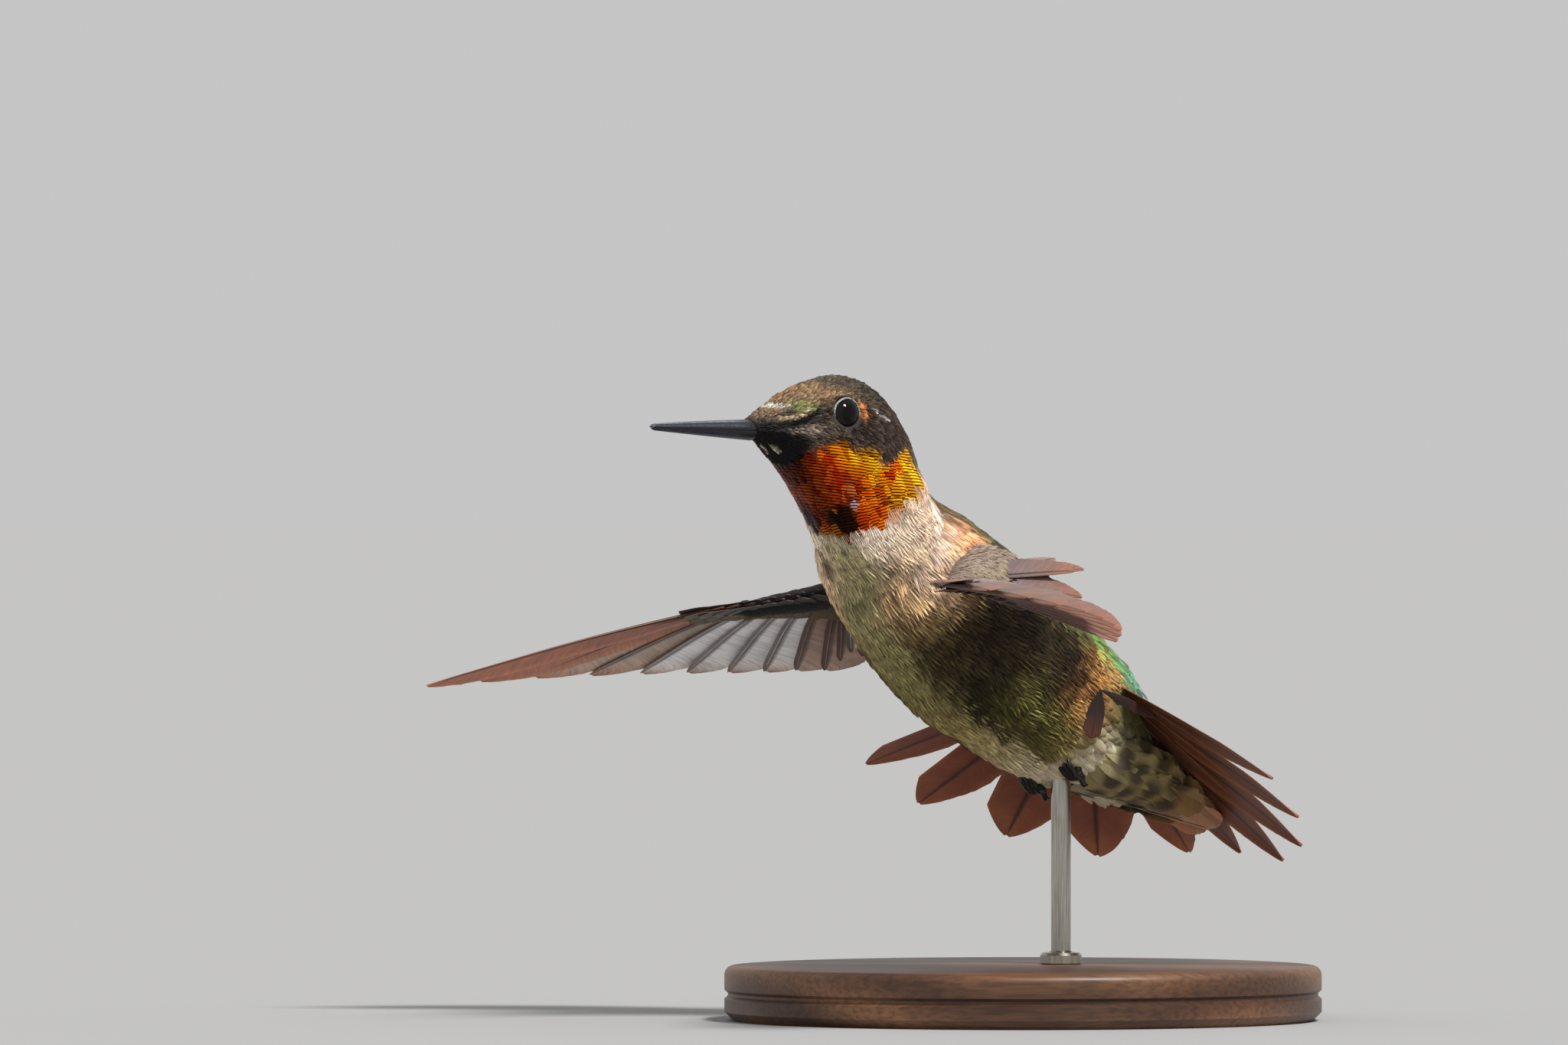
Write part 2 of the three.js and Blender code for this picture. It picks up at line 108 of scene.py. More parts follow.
def set_inputs(tree, node, inputs):
    """Sets a node's inputs, in order or by name, each to a value or to another node's output."""
    for key, value in inputs.items() if isinstance(inputs, dict) else enumerate(inputs):
        if isinstance(value, bpy.types.NodeSocket):
            tree.links.new(value, node.inputs[key])
        else:
            node.inputs[key].default_value = value


def add(tree, kind, inputs=(), out=0, stops=(), **settings):
    """Adds a node and hands back one of its outputs, or all of them if out is None.

    Stops are a colour ramp's places and hex colours.
    """
    made = tree.nodes.new(kind)
    for name, value in settings.items():
        setattr(made, name, value)
    set_inputs(tree, made, inputs)
    if stops:
        points = made.color_ramp.elements
        while len(points) < len(stops):
            points.new(0.5)
        for point, (place, code) in zip(points, stops):
            point.position = place
            point.color = (*linear(code), 1.0)
    return made.outputs if out is None else made.outputs[out]


# What a material can read: its place in the object, and values kept at a mesh's points.
READINGS = {
    "place": "Object", "tint": "Color", "chance": "Fac", "polar": "Fac", "vane": "Vector", "row": "Vector",
}


def new_material(name, *readings):
    """A new material, its tree and its surface shader, and the readings that it asks for."""
    made = bpy.data.materials.new(name)
    made.use_nodes = True
    tree = made.node_tree
    read = [add(tree, "ShaderNodeTexCoord", out=READINGS[key]) if key == "place"
            else add(tree, "ShaderNodeAttribute", out=READINGS[key], attribute_name=key) for key in readings]
    return made, tree, tree.nodes["Principled BSDF"], *read


def toned(tree, colour, *tones):
    """Lightens and darkens a colour. Each tone is a pattern, two of its values and the brightness there."""
    for pattern, *limits in tones:
        by = add(tree, "ShaderNodeMapRange", (pattern, *limits))
        colour = add(tree, "ShaderNodeVectorMath", {0: colour, "Scale": by}, operation="SCALE")
    return colour


print("mid grey in linear light:", round(float(linear("#808080")[0]), 3))

# %% [markdown]
# ## Shape of the body
# A bird's body is one smooth form from the bill to the rump, so it is described once: sections set
# square to a bent spine, each with a half width, a depth toward the back and a depth toward the belly.
# The trunk climbs while the head is turned and held level, so each has axes of its own, and the
# sections of the neck turn from the one to the other.


# %% the spine and its sections
def normalised(v):
    return v / np.maximum(np.linalg.norm(v, axis=-1, keepdims=True), 1e-9)


def unit(*v):
    return normalised(np.array(v, float))


TRUNK_FORWARD = unit(-0.65, -0.469, 0.599)
TRUNK_UP = unit(0.415, 0.4415, 0.796)
TRUNK_LEFT = np.cross(TRUNK_UP, TRUNK_FORWARD)
HEAD_YAW = math.radians(46)
HEAD_FORWARD = np.array([-math.cos(HEAD_YAW), -math.sin(HEAD_YAW), 0.0])
HEAD_UP = np.array([0.0, 0.0, 1.0])
HEAD_LEFT = np.cross(HEAD_UP, HEAD_FORWARD)
BILL_BASE = np.array([-27.3, -21.4, 59.4])
TRUNK_CENTRE = np.array([-6.3, 0.0, 39.2])


def behind_bill(back, lift):
    return BILL_BASE - HEAD_FORWARD * back + HEAD_UP * lift


def on_trunk(forward, lift):
    return TRUNK_CENTRE + TRUNK_FORWARD * forward + TRUNK_UP * lift


# Sections of the head, in mm: behind the bill's base and above it, half width, depth to the back and
# to the belly, and how far they follow the head's upright (1) rather than the trunk's (0).
HEAD_SECTIONS = [
    (0, 0, 1.25, 1.15, 1.15, 1), (1.6, 0.2, 2.4, 1.6, 2.0, 1), (4.4, 0.4, 3.8, 2.75, 4.2, 1),
    (8.2, 0.2, 5.1, 4.8, 6.1, 1), (11.8, -0.8, 5.8, 6.4, 7.5, 1), (14.6, -3.4, 6.0, 6.4, 7.5, 0.9),
    (16.6, -7.0, 6.0, 6.4, 6.9, 0.75),
]
# Sections of the trunk: forward of its centre and above it, and then the same.
TRUNK_SECTIONS = [
    (12.6, 1.0, 6.8, 7.9, 7.4, 0.3), (6.7, 0.2, 7.9, 9.0, 8.7, 0), (0, 0, 8.6, 9.7, 9.6, 0),
    (-6, 0, 8.6, 9.5, 8.9, 0), (-11.5, 0, 8.0, 9.6, 8.1, 0), (-16, 0, 7.2, 9.6, 7.0, 0),
    (-20, 0, 6.0, 9.1, 5.0, 0), (-23.5, 0, 4.5, 7.9, 4.1, 0), (-25.8, 0.3, 2.3, 3.6, 2.2, 0),
]
BODY = np.array([[*behind_bill(back, lift), *sizes] for back, lift, *sizes in HEAD_SECTIONS]
                + [[*on_trunk(forward, lift), *sizes] for forward, lift, *sizes in TRUNK_SECTIONS])
# Sections under the tail: centre in mm, and then the same.
UNDERTAIL = np.array([
    (5.6, 7.6, 26.6, 5.2, 5.0, 3.8, 0), (8.6, 9.0, 25.2, 5.2, 5.0, 3.3, 0),
    (12.4, 10.4, 23.4, 4.6, 4.0, 2.4, 0), (16.6, 12.0, 21.0, 3.3, 2.2, 1.4, 0),
    (20.0, 13.2, 18.9, 1.2, 0.6, 0.5, 0),
])
print("body length along the spine, mm:",
      round(float(np.linalg.norm(np.diff(BODY[:, :3], axis=0), axis=1).sum()), 1))

# %% [markdown]
# ### Places on the body
# A place on the body is two numbers, how far along the spine and at what angle round it. Skin,
# feathers and markings all use the same two numbers, which is why they can't drift apart.


# %% points on the body
def smooth(rows, place):
    """Rows of values read between the rows, along a smooth curve."""
    last = len(rows) - 1
    i = np.clip(np.floor(place).astype(int), 0, last - 1)
    t = (place - i)[:, None]
    a, b, c, d = (rows[np.clip(i + k, 0, last)] for k in (-1, 0, 1, 2))
    return b + 0.5 * t * (c - a + t * (2 * a - 5 * b + 4 * c - d + t * (3 * (b - c) + d - a)))


def surface(rows, place, angle, sink=0.0):
    """Points on a body of sections, sunk below its surface. Angle 0 is the back, a quarter turn the left."""
    read = smooth(rows, place)
    reach = 0.05              # how far before and after a place the spine's heading is read
    before = smooth(rows, np.maximum(0, place - reach))[:, :3]
    after = smooth(rows, np.minimum(len(rows) - 1, place + reach))[:, :3]
    ahead = normalised(before - after)
    turn = np.clip(read[:, 6:7], 0, 1)
    left = normalised(np.cross(TRUNK_UP * (1 - turn) + HEAD_UP * turn, ahead))
    up = np.cross(ahead, left)
    deep = np.where(np.cos(angle) > 0, read[:, 4], read[:, 5])
    side = (read[:, 3] - sink) * np.sin(angle)
    rise = (deep - sink) * np.cos(angle)
    return read[:, :3] + left * side[:, None] + up * rise[:, None]


def in_head(points):
    """A point as millimetres behind the bill's base, to the left and above it."""
    off = points - BILL_BASE
    return -off @ HEAD_FORWARD, off @ HEAD_LEFT, off @ HEAD_UP


print("left side at the shoulder, mm:",
      surface(BODY, np.array([8.0]), np.array([math.pi / 2]))[0].round(1).tolist())

# %% [markdown]
# ## Markings
# The male wears a black chin, a throat of stiff metallic scales that runs from wine red to gold, a
# pale collar, streaked and then olive underparts, and a green back. They are painted here by rule, in
# the two numbers of the body and in distances on the head. Each region is a soft mask, so edges blend
# over a feather's width. The same function colours the bare skin and the root of every feather.


# %% masks and gradients
def soft(x, low, high):
    """0 below low, 1 above high, eased between them."""
    t = np.clip((x - low) / (high - low), 0, 1)
    return t * t * (3 - 2 * t)


def spot(x, y, centre, size, edge=0.35):
    """1 inside an oval, 0 outside it."""
    off = np.hypot((x - centre[0]) / size[0], (y - centre[1]) / size[1])
    return 1 - soft(off, 1 - edge, 1 + edge)


def gradient(x, stops):
    """Colours for values of x, read between stops of (value, hex colour)."""
    places = [p for p, _ in stops]
    colours = np.array([linear(code) for _, code in stops])
    return np.stack([np.interp(x, places, colours[:, k]) for k in range(3)], 1)


def blend(under, mask, over):
    return under + (over - under) * mask[:, None]


print("soft edge at a quarter of its width:", float(soft(0.25, 0, 1)))

# %% [markdown]
# ### Colours of the body
# Along the spine the colour of each belt round the body is a short list of stops: the middle of the
# back, the mantle beside it, the flank, its lower front and the belly. A few soft spots are laid over
# them. Stops could be painted by hand on a map, but as lists they are easy to read and to change.

# %% belts and spots of the body
BACK = [(0, "#7d6a54"), (1.2, "#80684e"), (2.6, "#6a5846"), (3.6, "#4c4238"), (4.4, "#352e28"),
        (5.4, "#4e4630"), (6.6, "#4f7a48"), (8, "#3f8a4c"), (10.5, "#5c9650"), (11.5, "#7ea854"),
        (12.5, "#62a47c"), (14, "#7a9c70"), (15, "#5e6a44")]
MANTLE = [(5.4, "#5a4a34"), (7.0, "#7a5a3a"), (8.2, "#5c5034"), (10.2, "#5c6a38"), (11.2, "#809c50"),
          (12.5, "#6aa480"), (13.4, "#a89cb0"), (14, "#7a8a64"), (15, "#5e6a44")]
# FLANK's dark stops, from 8.35 to 10.3, are partly the flank's own dusky colour and partly painted shadow of
# the near wing.
FLANK = [(5.35, "#5b4b3d"), (5.7, "#f6e4cc"), (6.3, "#f8e2cc"), (7.5, "#f6e6d4"), (7.85, "#e6c6a4"),
         (8.1, "#a48662"), (8.35, "#504230"), (8.65, "#30271a"), (10.3, "#362b1b"), (10.8, "#6e4e2e"),
         (11.2, "#b48852"), (11.8, "#967c50"), (12.4, "#66643c"), (15, "#5a5634")]
FRONT = [(5.5, "#f8ecdc"), (6.3, "#f4e0c6"), (6.9, "#dec09a"), (7.5, "#c4a076"), (7.95, "#86704c"),
         (8.4, "#463a24"), (9.4, "#332e1c"), (10.4, "#4c4626"), (11.2, "#7a7040"), (12, "#b0a470"),
         (15, "#b4ac86")]
# BELLY's stops up to 7.2 are partly its own olive and partly painted shade on the front below the throat.
BELLY = [(5.5, "#d4c8a8"), (6.2, "#b8aa82"), (7.2, "#a89c72"), (8.2, "#9c9262"), (9.0, "#968a5a"),
         (9.8, "#b4a46c"), (10.8, "#d2c494"), (11.6, "#ece2bc"), (12.4, "#f2ead2"), (15, "#cac29a")]
# A belt takes over from the one above it between two angles from the back, in degrees.
BELTS = [(44, 62, FLANK), (96, 132, FRONT), (148, 166, BELLY)]
# Spots: place and degrees of the middle, half sizes in the same, softness, strength, colour.
BODY_SPOTS = [
    ((7.8, 56), (0.35, 13), 0.8, 0.75, "#f2b482"),       # peach behind the collar
    ((6.6, 146), (0.25, 8), 0.35, 0.75, "#54402c"),      # painted shade under the throat's lower edge
    ((10.3, 128), (0.9, 22), 0.35, 0.45, "#66622e"),     # olive low on the flank
    ((13.0, 150), (1.2, 60), 0.35, 0.85, "#e8e0c4"),     # pale down round the vent
]
print("belts of the body:", len(BELTS) + 2, "with", len(BODY_SPOTS), "spots")

# %% [markdown]
# ### Colours of the head
# The head is brown with a dark cheek, a tan patch behind the eye and a black line from the gape to
# the eye. Its spots are placed by millimetres behind and above the bill's base, since a face is
# judged by such distances. The throat's outline is given as the angle where it begins at each place.

# %% spots of the head and the throat
# Spots: behind and above the bill's base in mm, half sizes in mm, strength, colour.
HEAD_SPOTS = [
    ((13.0, -0.8), (4.8, 2.6), 0.9, "#43362f"),          # cheek
    ((6.6, 3.3), (3.8, 0.9), 0.8, "#8c6c4e"),            # brow
    ((4.8, 1.95), (1.3, 0.65), 0.6, "#848a4c"),          # green before the eye
    ((2.6, 2.15), (0.9, 0.2), 0.7, "#d8d2c6"),           # painted highlight: glints on the forehead
    ((10.9, 1.6), (0.9, 1.05), 0.95, "#dc8c50"),         # tan behind the eye
]
# These two stop short of the crown.
LOW_HEAD_SPOTS = [
    ((4.4, -0.5), (2.4, 0.7), 0.9, "#8a7a6c"),           # behind the gape
    ((6.4, -1.2), (1.8, 0.8), 0.8, "#4c4038"),           # under the eye
]
# The black line: how high it runs, by distance behind the bill's base.
LORE_BEHIND, LORE_ABOVE = [0, 2.4, 4.0, 5.1, 6.2], [0.2, 0.26, 0.57, 1.26, 1.9]
# The throat, from its darkest scales to its brightest: its red is its own, and the sweep from near
# black to gold is painted reflection of the metal scales as they are seen from one side.
GORGET = [(0, "#2a0d08"), (0.14, "#52170b"), (0.3, "#a0330f"), (0.48, "#d84a22"), (0.64, "#ea6828"),
          (0.8, "#f68c28"), (1, "#fcb430")]
GORGET_PLACES = [1.9, 2.04, 2.5, 2.98, 3.69, 4.44, 4.81, 4.94, 5.02, 5.9]
GORGET_TOPS = [150, 132, 116, 104, 106, 98, 101, 88, 62, 50]
GORGET_TURNS, GORGET_ENDS = [95, 115, 140], [5.94, 5.76, 5.55]
# Single bright scales low on the throat, painted glints: place, degrees, colour.
THROAT_FLECKS = [(4.47, 158, "#c08028"), (5.17, 166, "#c46420"), (4.61, 133, "#b8a0a4")]
print("spots of the head:", len(HEAD_SPOTS) + len(LOW_HEAD_SPOTS))

# %% [markdown]
# ### Painting by rule
# One function reads the belts, lays the spots over them, then the head, the throat and the chin, in
# the order in which one covers the next.


# %% paint the markings
def gorget_mask(place, degrees):
    top = np.interp(place, GORGET_PLACES, GORGET_TOPS)
    end = np.interp(degrees, GORGET_TURNS, GORGET_ENDS)
    return soft(degrees - top, -3, 3) * (1 - soft(place - end, -0.06, 0.06)) * soft(place, 1.9, 2.15)


def throat_colours(place, degrees, behind, above):
    """Dark red in front to gold at the rear, as painted reflection, with a dark patch low down and single
    bright scales as painted glints.
    """
    edge = np.interp(place, GORGET_PLACES, GORGET_TOPS)
    heat = 0.54 * np.clip((behind - 4.0) / 11, 0, 1) + 0.45 * (1 - np.clip((degrees - 85) / 75, 0, 1)) - 0.02
    heat += 0.3 * (1 - soft(degrees - edge, 5, 16)) * soft(behind, 5.6, 7.0)
    heat -= 0.35 * spot(behind, above, (14.0, -3.6), (1.3, 0.8))
    throat = gradient(np.clip(heat, 0, 1), GORGET)
    throat = blend(throat, 0.6 * spot(behind, above, (10.0, -4.7), (0.45, 1.3)), linear("#8a5a4c"))
    throat = blend(throat, 0.7 * soft(degrees, 154, 168) * soft(place, 4.9, 5.3), linear("#a85420"))
    throat = blend(throat, 0.96 * spot(place, degrees, (4.86, 156), (0.6, 18)), linear("#140c0a"))
    for place_at, turn_at, code in THROAT_FLECKS:
        throat = blend(throat, 0.9 * spot(place, degrees, (place_at, turn_at), (0.1, 3.4)), linear(code))
    return throat


def paint_head(colour, degrees, behind, above, head):
    """Brown sides, the head's spots, the black line to the eye, and a white streak behind the eye."""
    colour = blend(colour, head * soft(degrees, 40, 56), linear("#54463a"))
    for mask, spots in ((head, HEAD_SPOTS), (head * soft(degrees, 60, 80), LOW_HEAD_SPOTS)):
        for centre, half_sizes, strength, code in spots:
            colour = blend(colour, strength * mask * spot(behind, above, centre, half_sizes), linear(code))
    off_line = above - np.interp(behind, LORE_BEHIND, LORE_ABOVE)
    lore = head * (1 - soft(np.abs(off_line + 0.1), 0.25, 0.5)) * (1 - soft(behind, 5.9, 6.5))
    colour = blend(colour, lore * soft(degrees, 40, 60), linear("#070505"))
    over_lore = head * (1 - soft(np.abs(off_line - 0.62), 0.1, 0.3)) * soft(degrees, 40, 55)
    over_lore *= soft(behind, 1.2, 2.2) * (1 - soft(behind, 4.6, 5.6))
    colour = blend(colour, 0.7 * over_lore, linear("#c0a888"))
    off_streak = np.abs(above - 2.06 + 0.68 * (behind - 12.22))
    white = head * (1 - soft(off_streak, 0.04, 0.18)) * soft(behind, 12.4, 12.8) \
        * (1 - soft(behind, 14.1, 14.4))
    return blend(colour, 0.95 * white, linear("#fbf6f0"))


def markings(place, angle, points):
    """The plumage's colour at places on the body."""
    degrees = np.abs(np.degrees(angle))
    behind, _, above = in_head(points)
    colour = blend(gradient(place, BACK), soft(degrees, 12, 24) * soft(place, 5.6, 6.4),
                   gradient(place, MANTLE))
    for low, high, stops in BELTS:
        colour = blend(colour, soft(degrees, low, high), gradient(place, stops))
    for centre, half_sizes, edge, strength, code in BODY_SPOTS:
        colour = blend(colour, strength * spot(place, degrees, centre, half_sizes, edge), linear(code))
    colour = paint_head(colour, degrees, behind, above, 1 - soft(place, 5.1, 5.5))
    colour = blend(colour, gorget_mask(place, degrees), throat_colours(place, degrees, behind, above))
    chin = (1 - soft(place, 2.0, 2.3)) * soft(degrees, 100, 112)
    colour = blend(colour, chin, linear("#080606"))
    return blend(colour, 0.9 * spot(place, degrees, (1.33, 164), (0.2, 7)), linear("#b8b090"))


quarter, collar = np.array([math.pi / 2]), np.array([6.3])
print("collar in linear light:",
      markings(collar, quarter, surface(BODY, collar, quarter))[0].round(2).tolist())

# %% [markdown]
# ## Eyes' place and the coat's depth
# Under the feathers lies one skin, sunk below the outline by the depth of the coat so that the feather
# tips, not the skin, make the silhouette. Small forms are pushed into it: a brow, the groove from gape
# to eye, a cheek, and the ruff's rear edge, which stands proud of the collar. The eyes come first,
# because the skin opens round them.

# %% eye place and coat depth
# The eyeball and the opening between its lids, in mm. It is turned toward the bill by some degrees.
EYE = {"radius": 1.95, "behind": 8.88, "side": 3.68, "lift": 1.42, "opening": 1.45, "toward_bill": 12}
COAT_PLACES, COAT_DEPTHS = [0, 1, 3, 5, 7, 9, 15], [0.12, 0.22, 0.34, 0.42, 0.65, 0.75, 0.75]
# Forms of the face: behind and above the bill's base in mm, half sizes, and how deep they go.
FACE_FORMS = [
    ((4.6, 0.9), (2.4, 0.7), 0.3),           # groove from gape to eye
    ((6.4, 3.3), (3.2, 0.8), -0.3),          # brow
    ((7.0, -1.4), (3.0, 0.9), -0.25),        # cheek
]


def eye_frame(side):
    """Centre of an eyeball, and the direction it looks in."""
    centre = behind_bill(EYE["behind"], EYE["lift"]) + HEAD_LEFT * side * EYE["side"]
    swing = math.radians(EYE["toward_bill"])
    return centre, HEAD_LEFT * side * math.cos(swing) + HEAD_FORWARD * math.sin(swing)


def eye_opening(side):
    """Middle of the opening between the lids."""
    centre, axis = eye_frame(side)
    return centre + axis * math.sqrt(EYE["radius"] ** 2 - EYE["opening"] ** 2)


def from_lids(points):
    """Distance from the nearer eye's opening."""
    return np.minimum(*(np.linalg.norm(points - eye_opening(side), axis=1) for side in (1, -1)))


def coat_depth(place, angle):
    """How far the skin lies below the outline, with the head's small forms taken off or added."""
    degrees = np.abs(np.degrees(angle))
    depth = np.interp(place, COAT_PLACES, COAT_DEPTHS)
    outline = surface(BODY, place, angle)
    behind, _, above = in_head(outline)
    head = 1 - soft(place, 4.8, 5.4)
    side = head * soft(degrees, 35, 60) * (1 - soft(degrees, 125, 150))
    for centre, half_sizes, deep in FACE_FORMS:
        depth += deep * side * spot(behind, above, centre, half_sizes, 0.6)
    ruff = soft(place, 5.3, 5.75) * (1 - soft(place, 5.9, 6.05)) * soft(degrees, 45, 60)
    lids = from_lids(outline)
    socket = np.exp(-((lids - 1.65) / 0.75) ** 2)
    return depth - 0.2 * ruff - 0.5 * socket + 1.3 * (1 - soft(lids, 0.95, 1.45))


print("eye opening, mm:", 2 * EYE["opening"])

# %% [markdown]
# ## Meshes from grids
# Most forms here are nets of points with a face between each four neighbours: the skin, a feather, a
# toe, the turned base. The rows of a net are joined open like a sheet or closed round like a tube.
# Another function makes the mesh and writes values at its points, and a third turns a profile round
# an axis, for whatever could be made on a lathe.


# %% grids and meshes
def grid_on(rows, first, last, along, around, depth):
    """Places, angles and points of a grid over a body. Its last column repeats the first."""
    place, angle = np.meshgrid(np.linspace(first, last, along), np.linspace(-math.pi, math.pi, around + 1),
                               indexing="ij")
    place, angle = place.ravel(), angle.ravel()
    return place, angle, surface(rows, place, angle, depth(place, angle))


def grid_faces(along, columns):
    """Faces of an open net of rows."""
    i, k = np.meshgrid(np.arange(along - 1), np.arange(columns - 1), indexing="ij")
    a = (i * columns + k).ravel()
    return np.stack([a, a + 1, a + columns + 1, a + columns], 1)


def tube_faces(rings, around, ends=False):
    """Faces of a net of rings, each joined to the next, with a face over each end if asked."""
    i, k = np.meshgrid(np.arange(rings - 1), np.arange(around), indexing="ij")
    a, b = (i * around + k).ravel(), (i * around + (k + 1) % around).ravel()
    faces = np.stack([a, b, b + around, a + around], 1).tolist()
    if ends:
        faces += [range(around - 1, -1, -1), range((rings - 1) * around, rings * around)]
    return faces


def join_parts(parts):
    """Points and faces of several parts as one."""
    faces, start = [], 0
    for points, part_faces in parts:
        faces += [[start + i for i in face] for face in part_faces]
        start += len(points)
    return np.concatenate([points for points, _ in parts]), faces


def new_mesh(name, points, faces, colours=None, **attributes):
    """A mesh object in metres, from points in millimetres, with named values at its points."""
    mesh = bpy.data.meshes.new(name)
    mesh.from_pydata((np.asarray(points) * MM).tolist(), [], [list(map(int, f)) for f in faces])
    if colours is not None:
        rgba = np.concatenate([colours, np.ones((len(colours), 1))], 1)
        mesh.attributes.new("tint", "FLOAT_COLOR", "POINT").data.foreach_set("color", rgba.ravel())
    for key, values in attributes.items():
        values = np.asarray(values, float)
        kind = "FLOAT" if values.ndim == 1 else "FLOAT_VECTOR"
        made = mesh.attributes.new(key, kind, "POINT")
        made.data.foreach_set("value" if values.ndim == 1 else "vector", values.ravel())
    mesh.polygons.foreach_set("use_smooth", [True] * len(mesh.polygons))
    made = bpy.data.objects.new(name, mesh)
    bpy.context.scene.collection.objects.link(made)
    return made


def revolved(name, profile, centre, axes, around, bead=0.0, beads=0, closed=False, **values):
    """Turns a profile of (distance along the axis, radius) round the last of three axes, with beads on it.

    A closed profile's last ring is joined to its first.
    """
    across, rise, axis = axes
    turn = np.linspace(0, 2 * math.pi, around, endpoint=False)[:, None]
    spoke = across * np.cos(turn) + rise * np.sin(turn)
    wave = bead * np.sin(beads * turn)
    points = np.concatenate([
        centre + axis * (out + wave) + spoke * (radius + wave) for out, radius in profile
    ])
    faces = np.array(tube_faces(len(profile) + closed, around)) % len(points)
    return new_mesh(name, points, faces, **values)


print("faces of a closed tube of 3 rings of 8:", len(tube_faces(3, 8, ends=True)))

# %% [markdown]
# ## Closing, facing and placing a piece
# A solid's faces must point outward, or light falls on it from the wrong side. Closed pieces have
# their seams merged and their ends filled. The skin is also unrolled into a flat map, on which its
# colours can be kept. Each finished piece then gets its material and its place in the frame.


# %% finish pieces
def with_bmesh(ob, work_on):
    """Edits an object's mesh through a bmesh."""
    work = bmesh.new()
    work.from_mesh(ob.data)
    work_on(work)
    work.to_mesh(ob.data)
    work.free()
    return ob


def seal(work):
    bmesh.ops.remove_doubles(work, verts=work.verts, dist=1e-7)
    bmesh.ops.holes_fill(work, edges=[e for e in work.edges if e.is_boundary], sides=0)
    bmesh.ops.recalc_face_normals(work, faces=work.faces)


def outward(ob):
    """Merges a net's seam, closes its ends and turns its faces out."""
    return with_bmesh(ob, seal)


def facing_out(ob):
    """Turns an open net's faces outward, judged by the sign of the space they wrap."""
    faces = ob.data.polygons
    middle = np.mean([f.center for f in faces], axis=0)
    if sum((np.array(f.center) - middle) @ np.array(f.normal) * f.area for f in faces) < 0:
        ob.data.flip_normals()
    return ob


def bake_places(place, angle, first, last):
    """The skin unrolled: angle across, place along, kept clear of the map's edges."""
    margin = 0.01
    across = margin + (1 - 2 * margin) * (angle + math.pi) / (2 * math.pi)
    up = margin + (1 - 2 * margin) * (place - first) / (last - first)
    return np.stack([across, up, 0 * up], 1)


def set_bake_map(ob, first, last, places, angles):
    """Writes the unrolled skin as the map on which its colours can be baked."""
    layer = ob.data.uv_layers.new(name="OFBake")
    corners = np.zeros(len(ob.data.loops), int)
    ob.data.loops.foreach_get("vertex_index", corners)
    layer.data.foreach_set("uv", bake_places(places, angles, first, last)[:, :2][corners].ravel())


def finish_piece(ob, material, slot, *nodes):
    """Gives a piece its material, if it has none yet, and its place in the frame."""
    if material:
        ob.data.materials.append(material)
    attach(ob, "root")
    if nodes:
        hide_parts(*nodes)


print("middle of the unrolled skin:", bake_places(np.array([0.5]), np.zeros(1), 0, 1)[0, :2].tolist())

# %% [markdown]
# ## The skin
# The skin could be sculpted, but a net over the spine's two numbers keeps every point's address. Where
# the neck bends, the rows of the net crowd together, and they are eased apart along their own lines.

# %% the skin
SKIN_ROWS, SKIN_COLUMNS = 320, 200
BODY_END = len(BODY) - 1
# How far apart the rows are that each easing step reads, from coarse to fine.
EASE_STEPS = [6] * 60 + [3] * 40 + [1] * 40


def fill_crease(points, place, angle):
    """Eases the throat's crowded rows apart."""
    net = points.reshape(SKIN_ROWS, SKIN_COLUMNS + 1, 3)
    degrees = np.abs(np.degrees(angle))
    ease = soft(degrees, 98, 130) * soft(place, 1.9, 2.7) * (1 - soft(place, 5.7, 6.5))
    ease = 0.5 * ease.reshape(SKIN_ROWS, -1, 1)
    for step in EASE_STEPS:
        mean = (np.roll(net, step, 0) + np.roll(net, -step, 0)) / 2
        net = net + ease * (mean - net)
    return net.reshape(-1, 3)


place, angle, points = grid_on(BODY, 0, BODY_END, SKIN_ROWS, SKIN_COLUMNS, coat_depth)
points = fill_crease(points, place, angle)
skin_faces = grid_faces(SKIN_ROWS, SKIN_COLUMNS + 1)
skin = new_mesh("skin", points, skin_faces, markings(place, angle, points))
set_bake_map(skin, 0, BODY_END, place, angle)
outward(skin)
print("skin:", len(skin.data.polygons), "faces")

# %% [markdown]
# ## One vane
# A contour feather is a flat vane on a shaft, with barbs that part at the tip. Real ones are a
# hundredth of a millimetre thick. Here each is a closed sliver, arched along its length and bowed
# across it: enough to catch light, and only a few dozen faces. Three shapes are made: a broad scale
# for the throat, a narrow blade for the face, and a tuft of barbs.


# %% vane shapes
def sliver(outline, columns, camber, arch, thick, lean=0.0, shift=0.0, lap=0.0):
    """Points, faces and vane coordinates of one closed blade, a unit wide and a unit long."""
    xs = np.linspace(-1, 1, columns)
    rows, coordinates = [], []
    for y, half in outline[:-1]:
        rise = arch * math.sin(math.pi * min(1, y * 0.9)) - arch * 0.8 * y * y + lap
        rows += [(x * half, y, rise - camber * half * x * x + thick * (1 - x * x)) for x in xs]
        coordinates += [(x, y, 0) for x in xs]
    rows.append((0, 1, arch * (math.sin(math.pi * 0.9) - 0.8) + lap))
    coordinates.append((0, 1, 0))
    faces, n, tip = [], columns, len(rows) - 1
    for j in range(len(outline) - 2):
        a = j * n
        faces += [(a + k, a + k + 1, a + n + k + 1, a + n + k) for k in range(n - 1)]
        faces.append((a, a + n, a + 2 * n - 1, a + n - 1))
    a = (len(outline) - 2) * n
    faces += [(a + k, a + k + 1, tip) for k in range(n - 1)] + [(a, tip, a + n - 1)]
    faces.append((0, *range(n - 1, 0, -1)))
    points = np.array(rows, float)
    turn = np.array([[math.cos(lean), math.sin(lean)], [-math.sin(lean), math.cos(lean)]])
    points[:, :2] = points[:, :2] @ turn.T
    points[:, 0] += shift
    coordinates = np.array(coordinates, float)
    if lean or shift:
        coordinates[:, 0] = coordinates[:, 0] * 0.12 + shift * 2
    return points, faces, coordinates


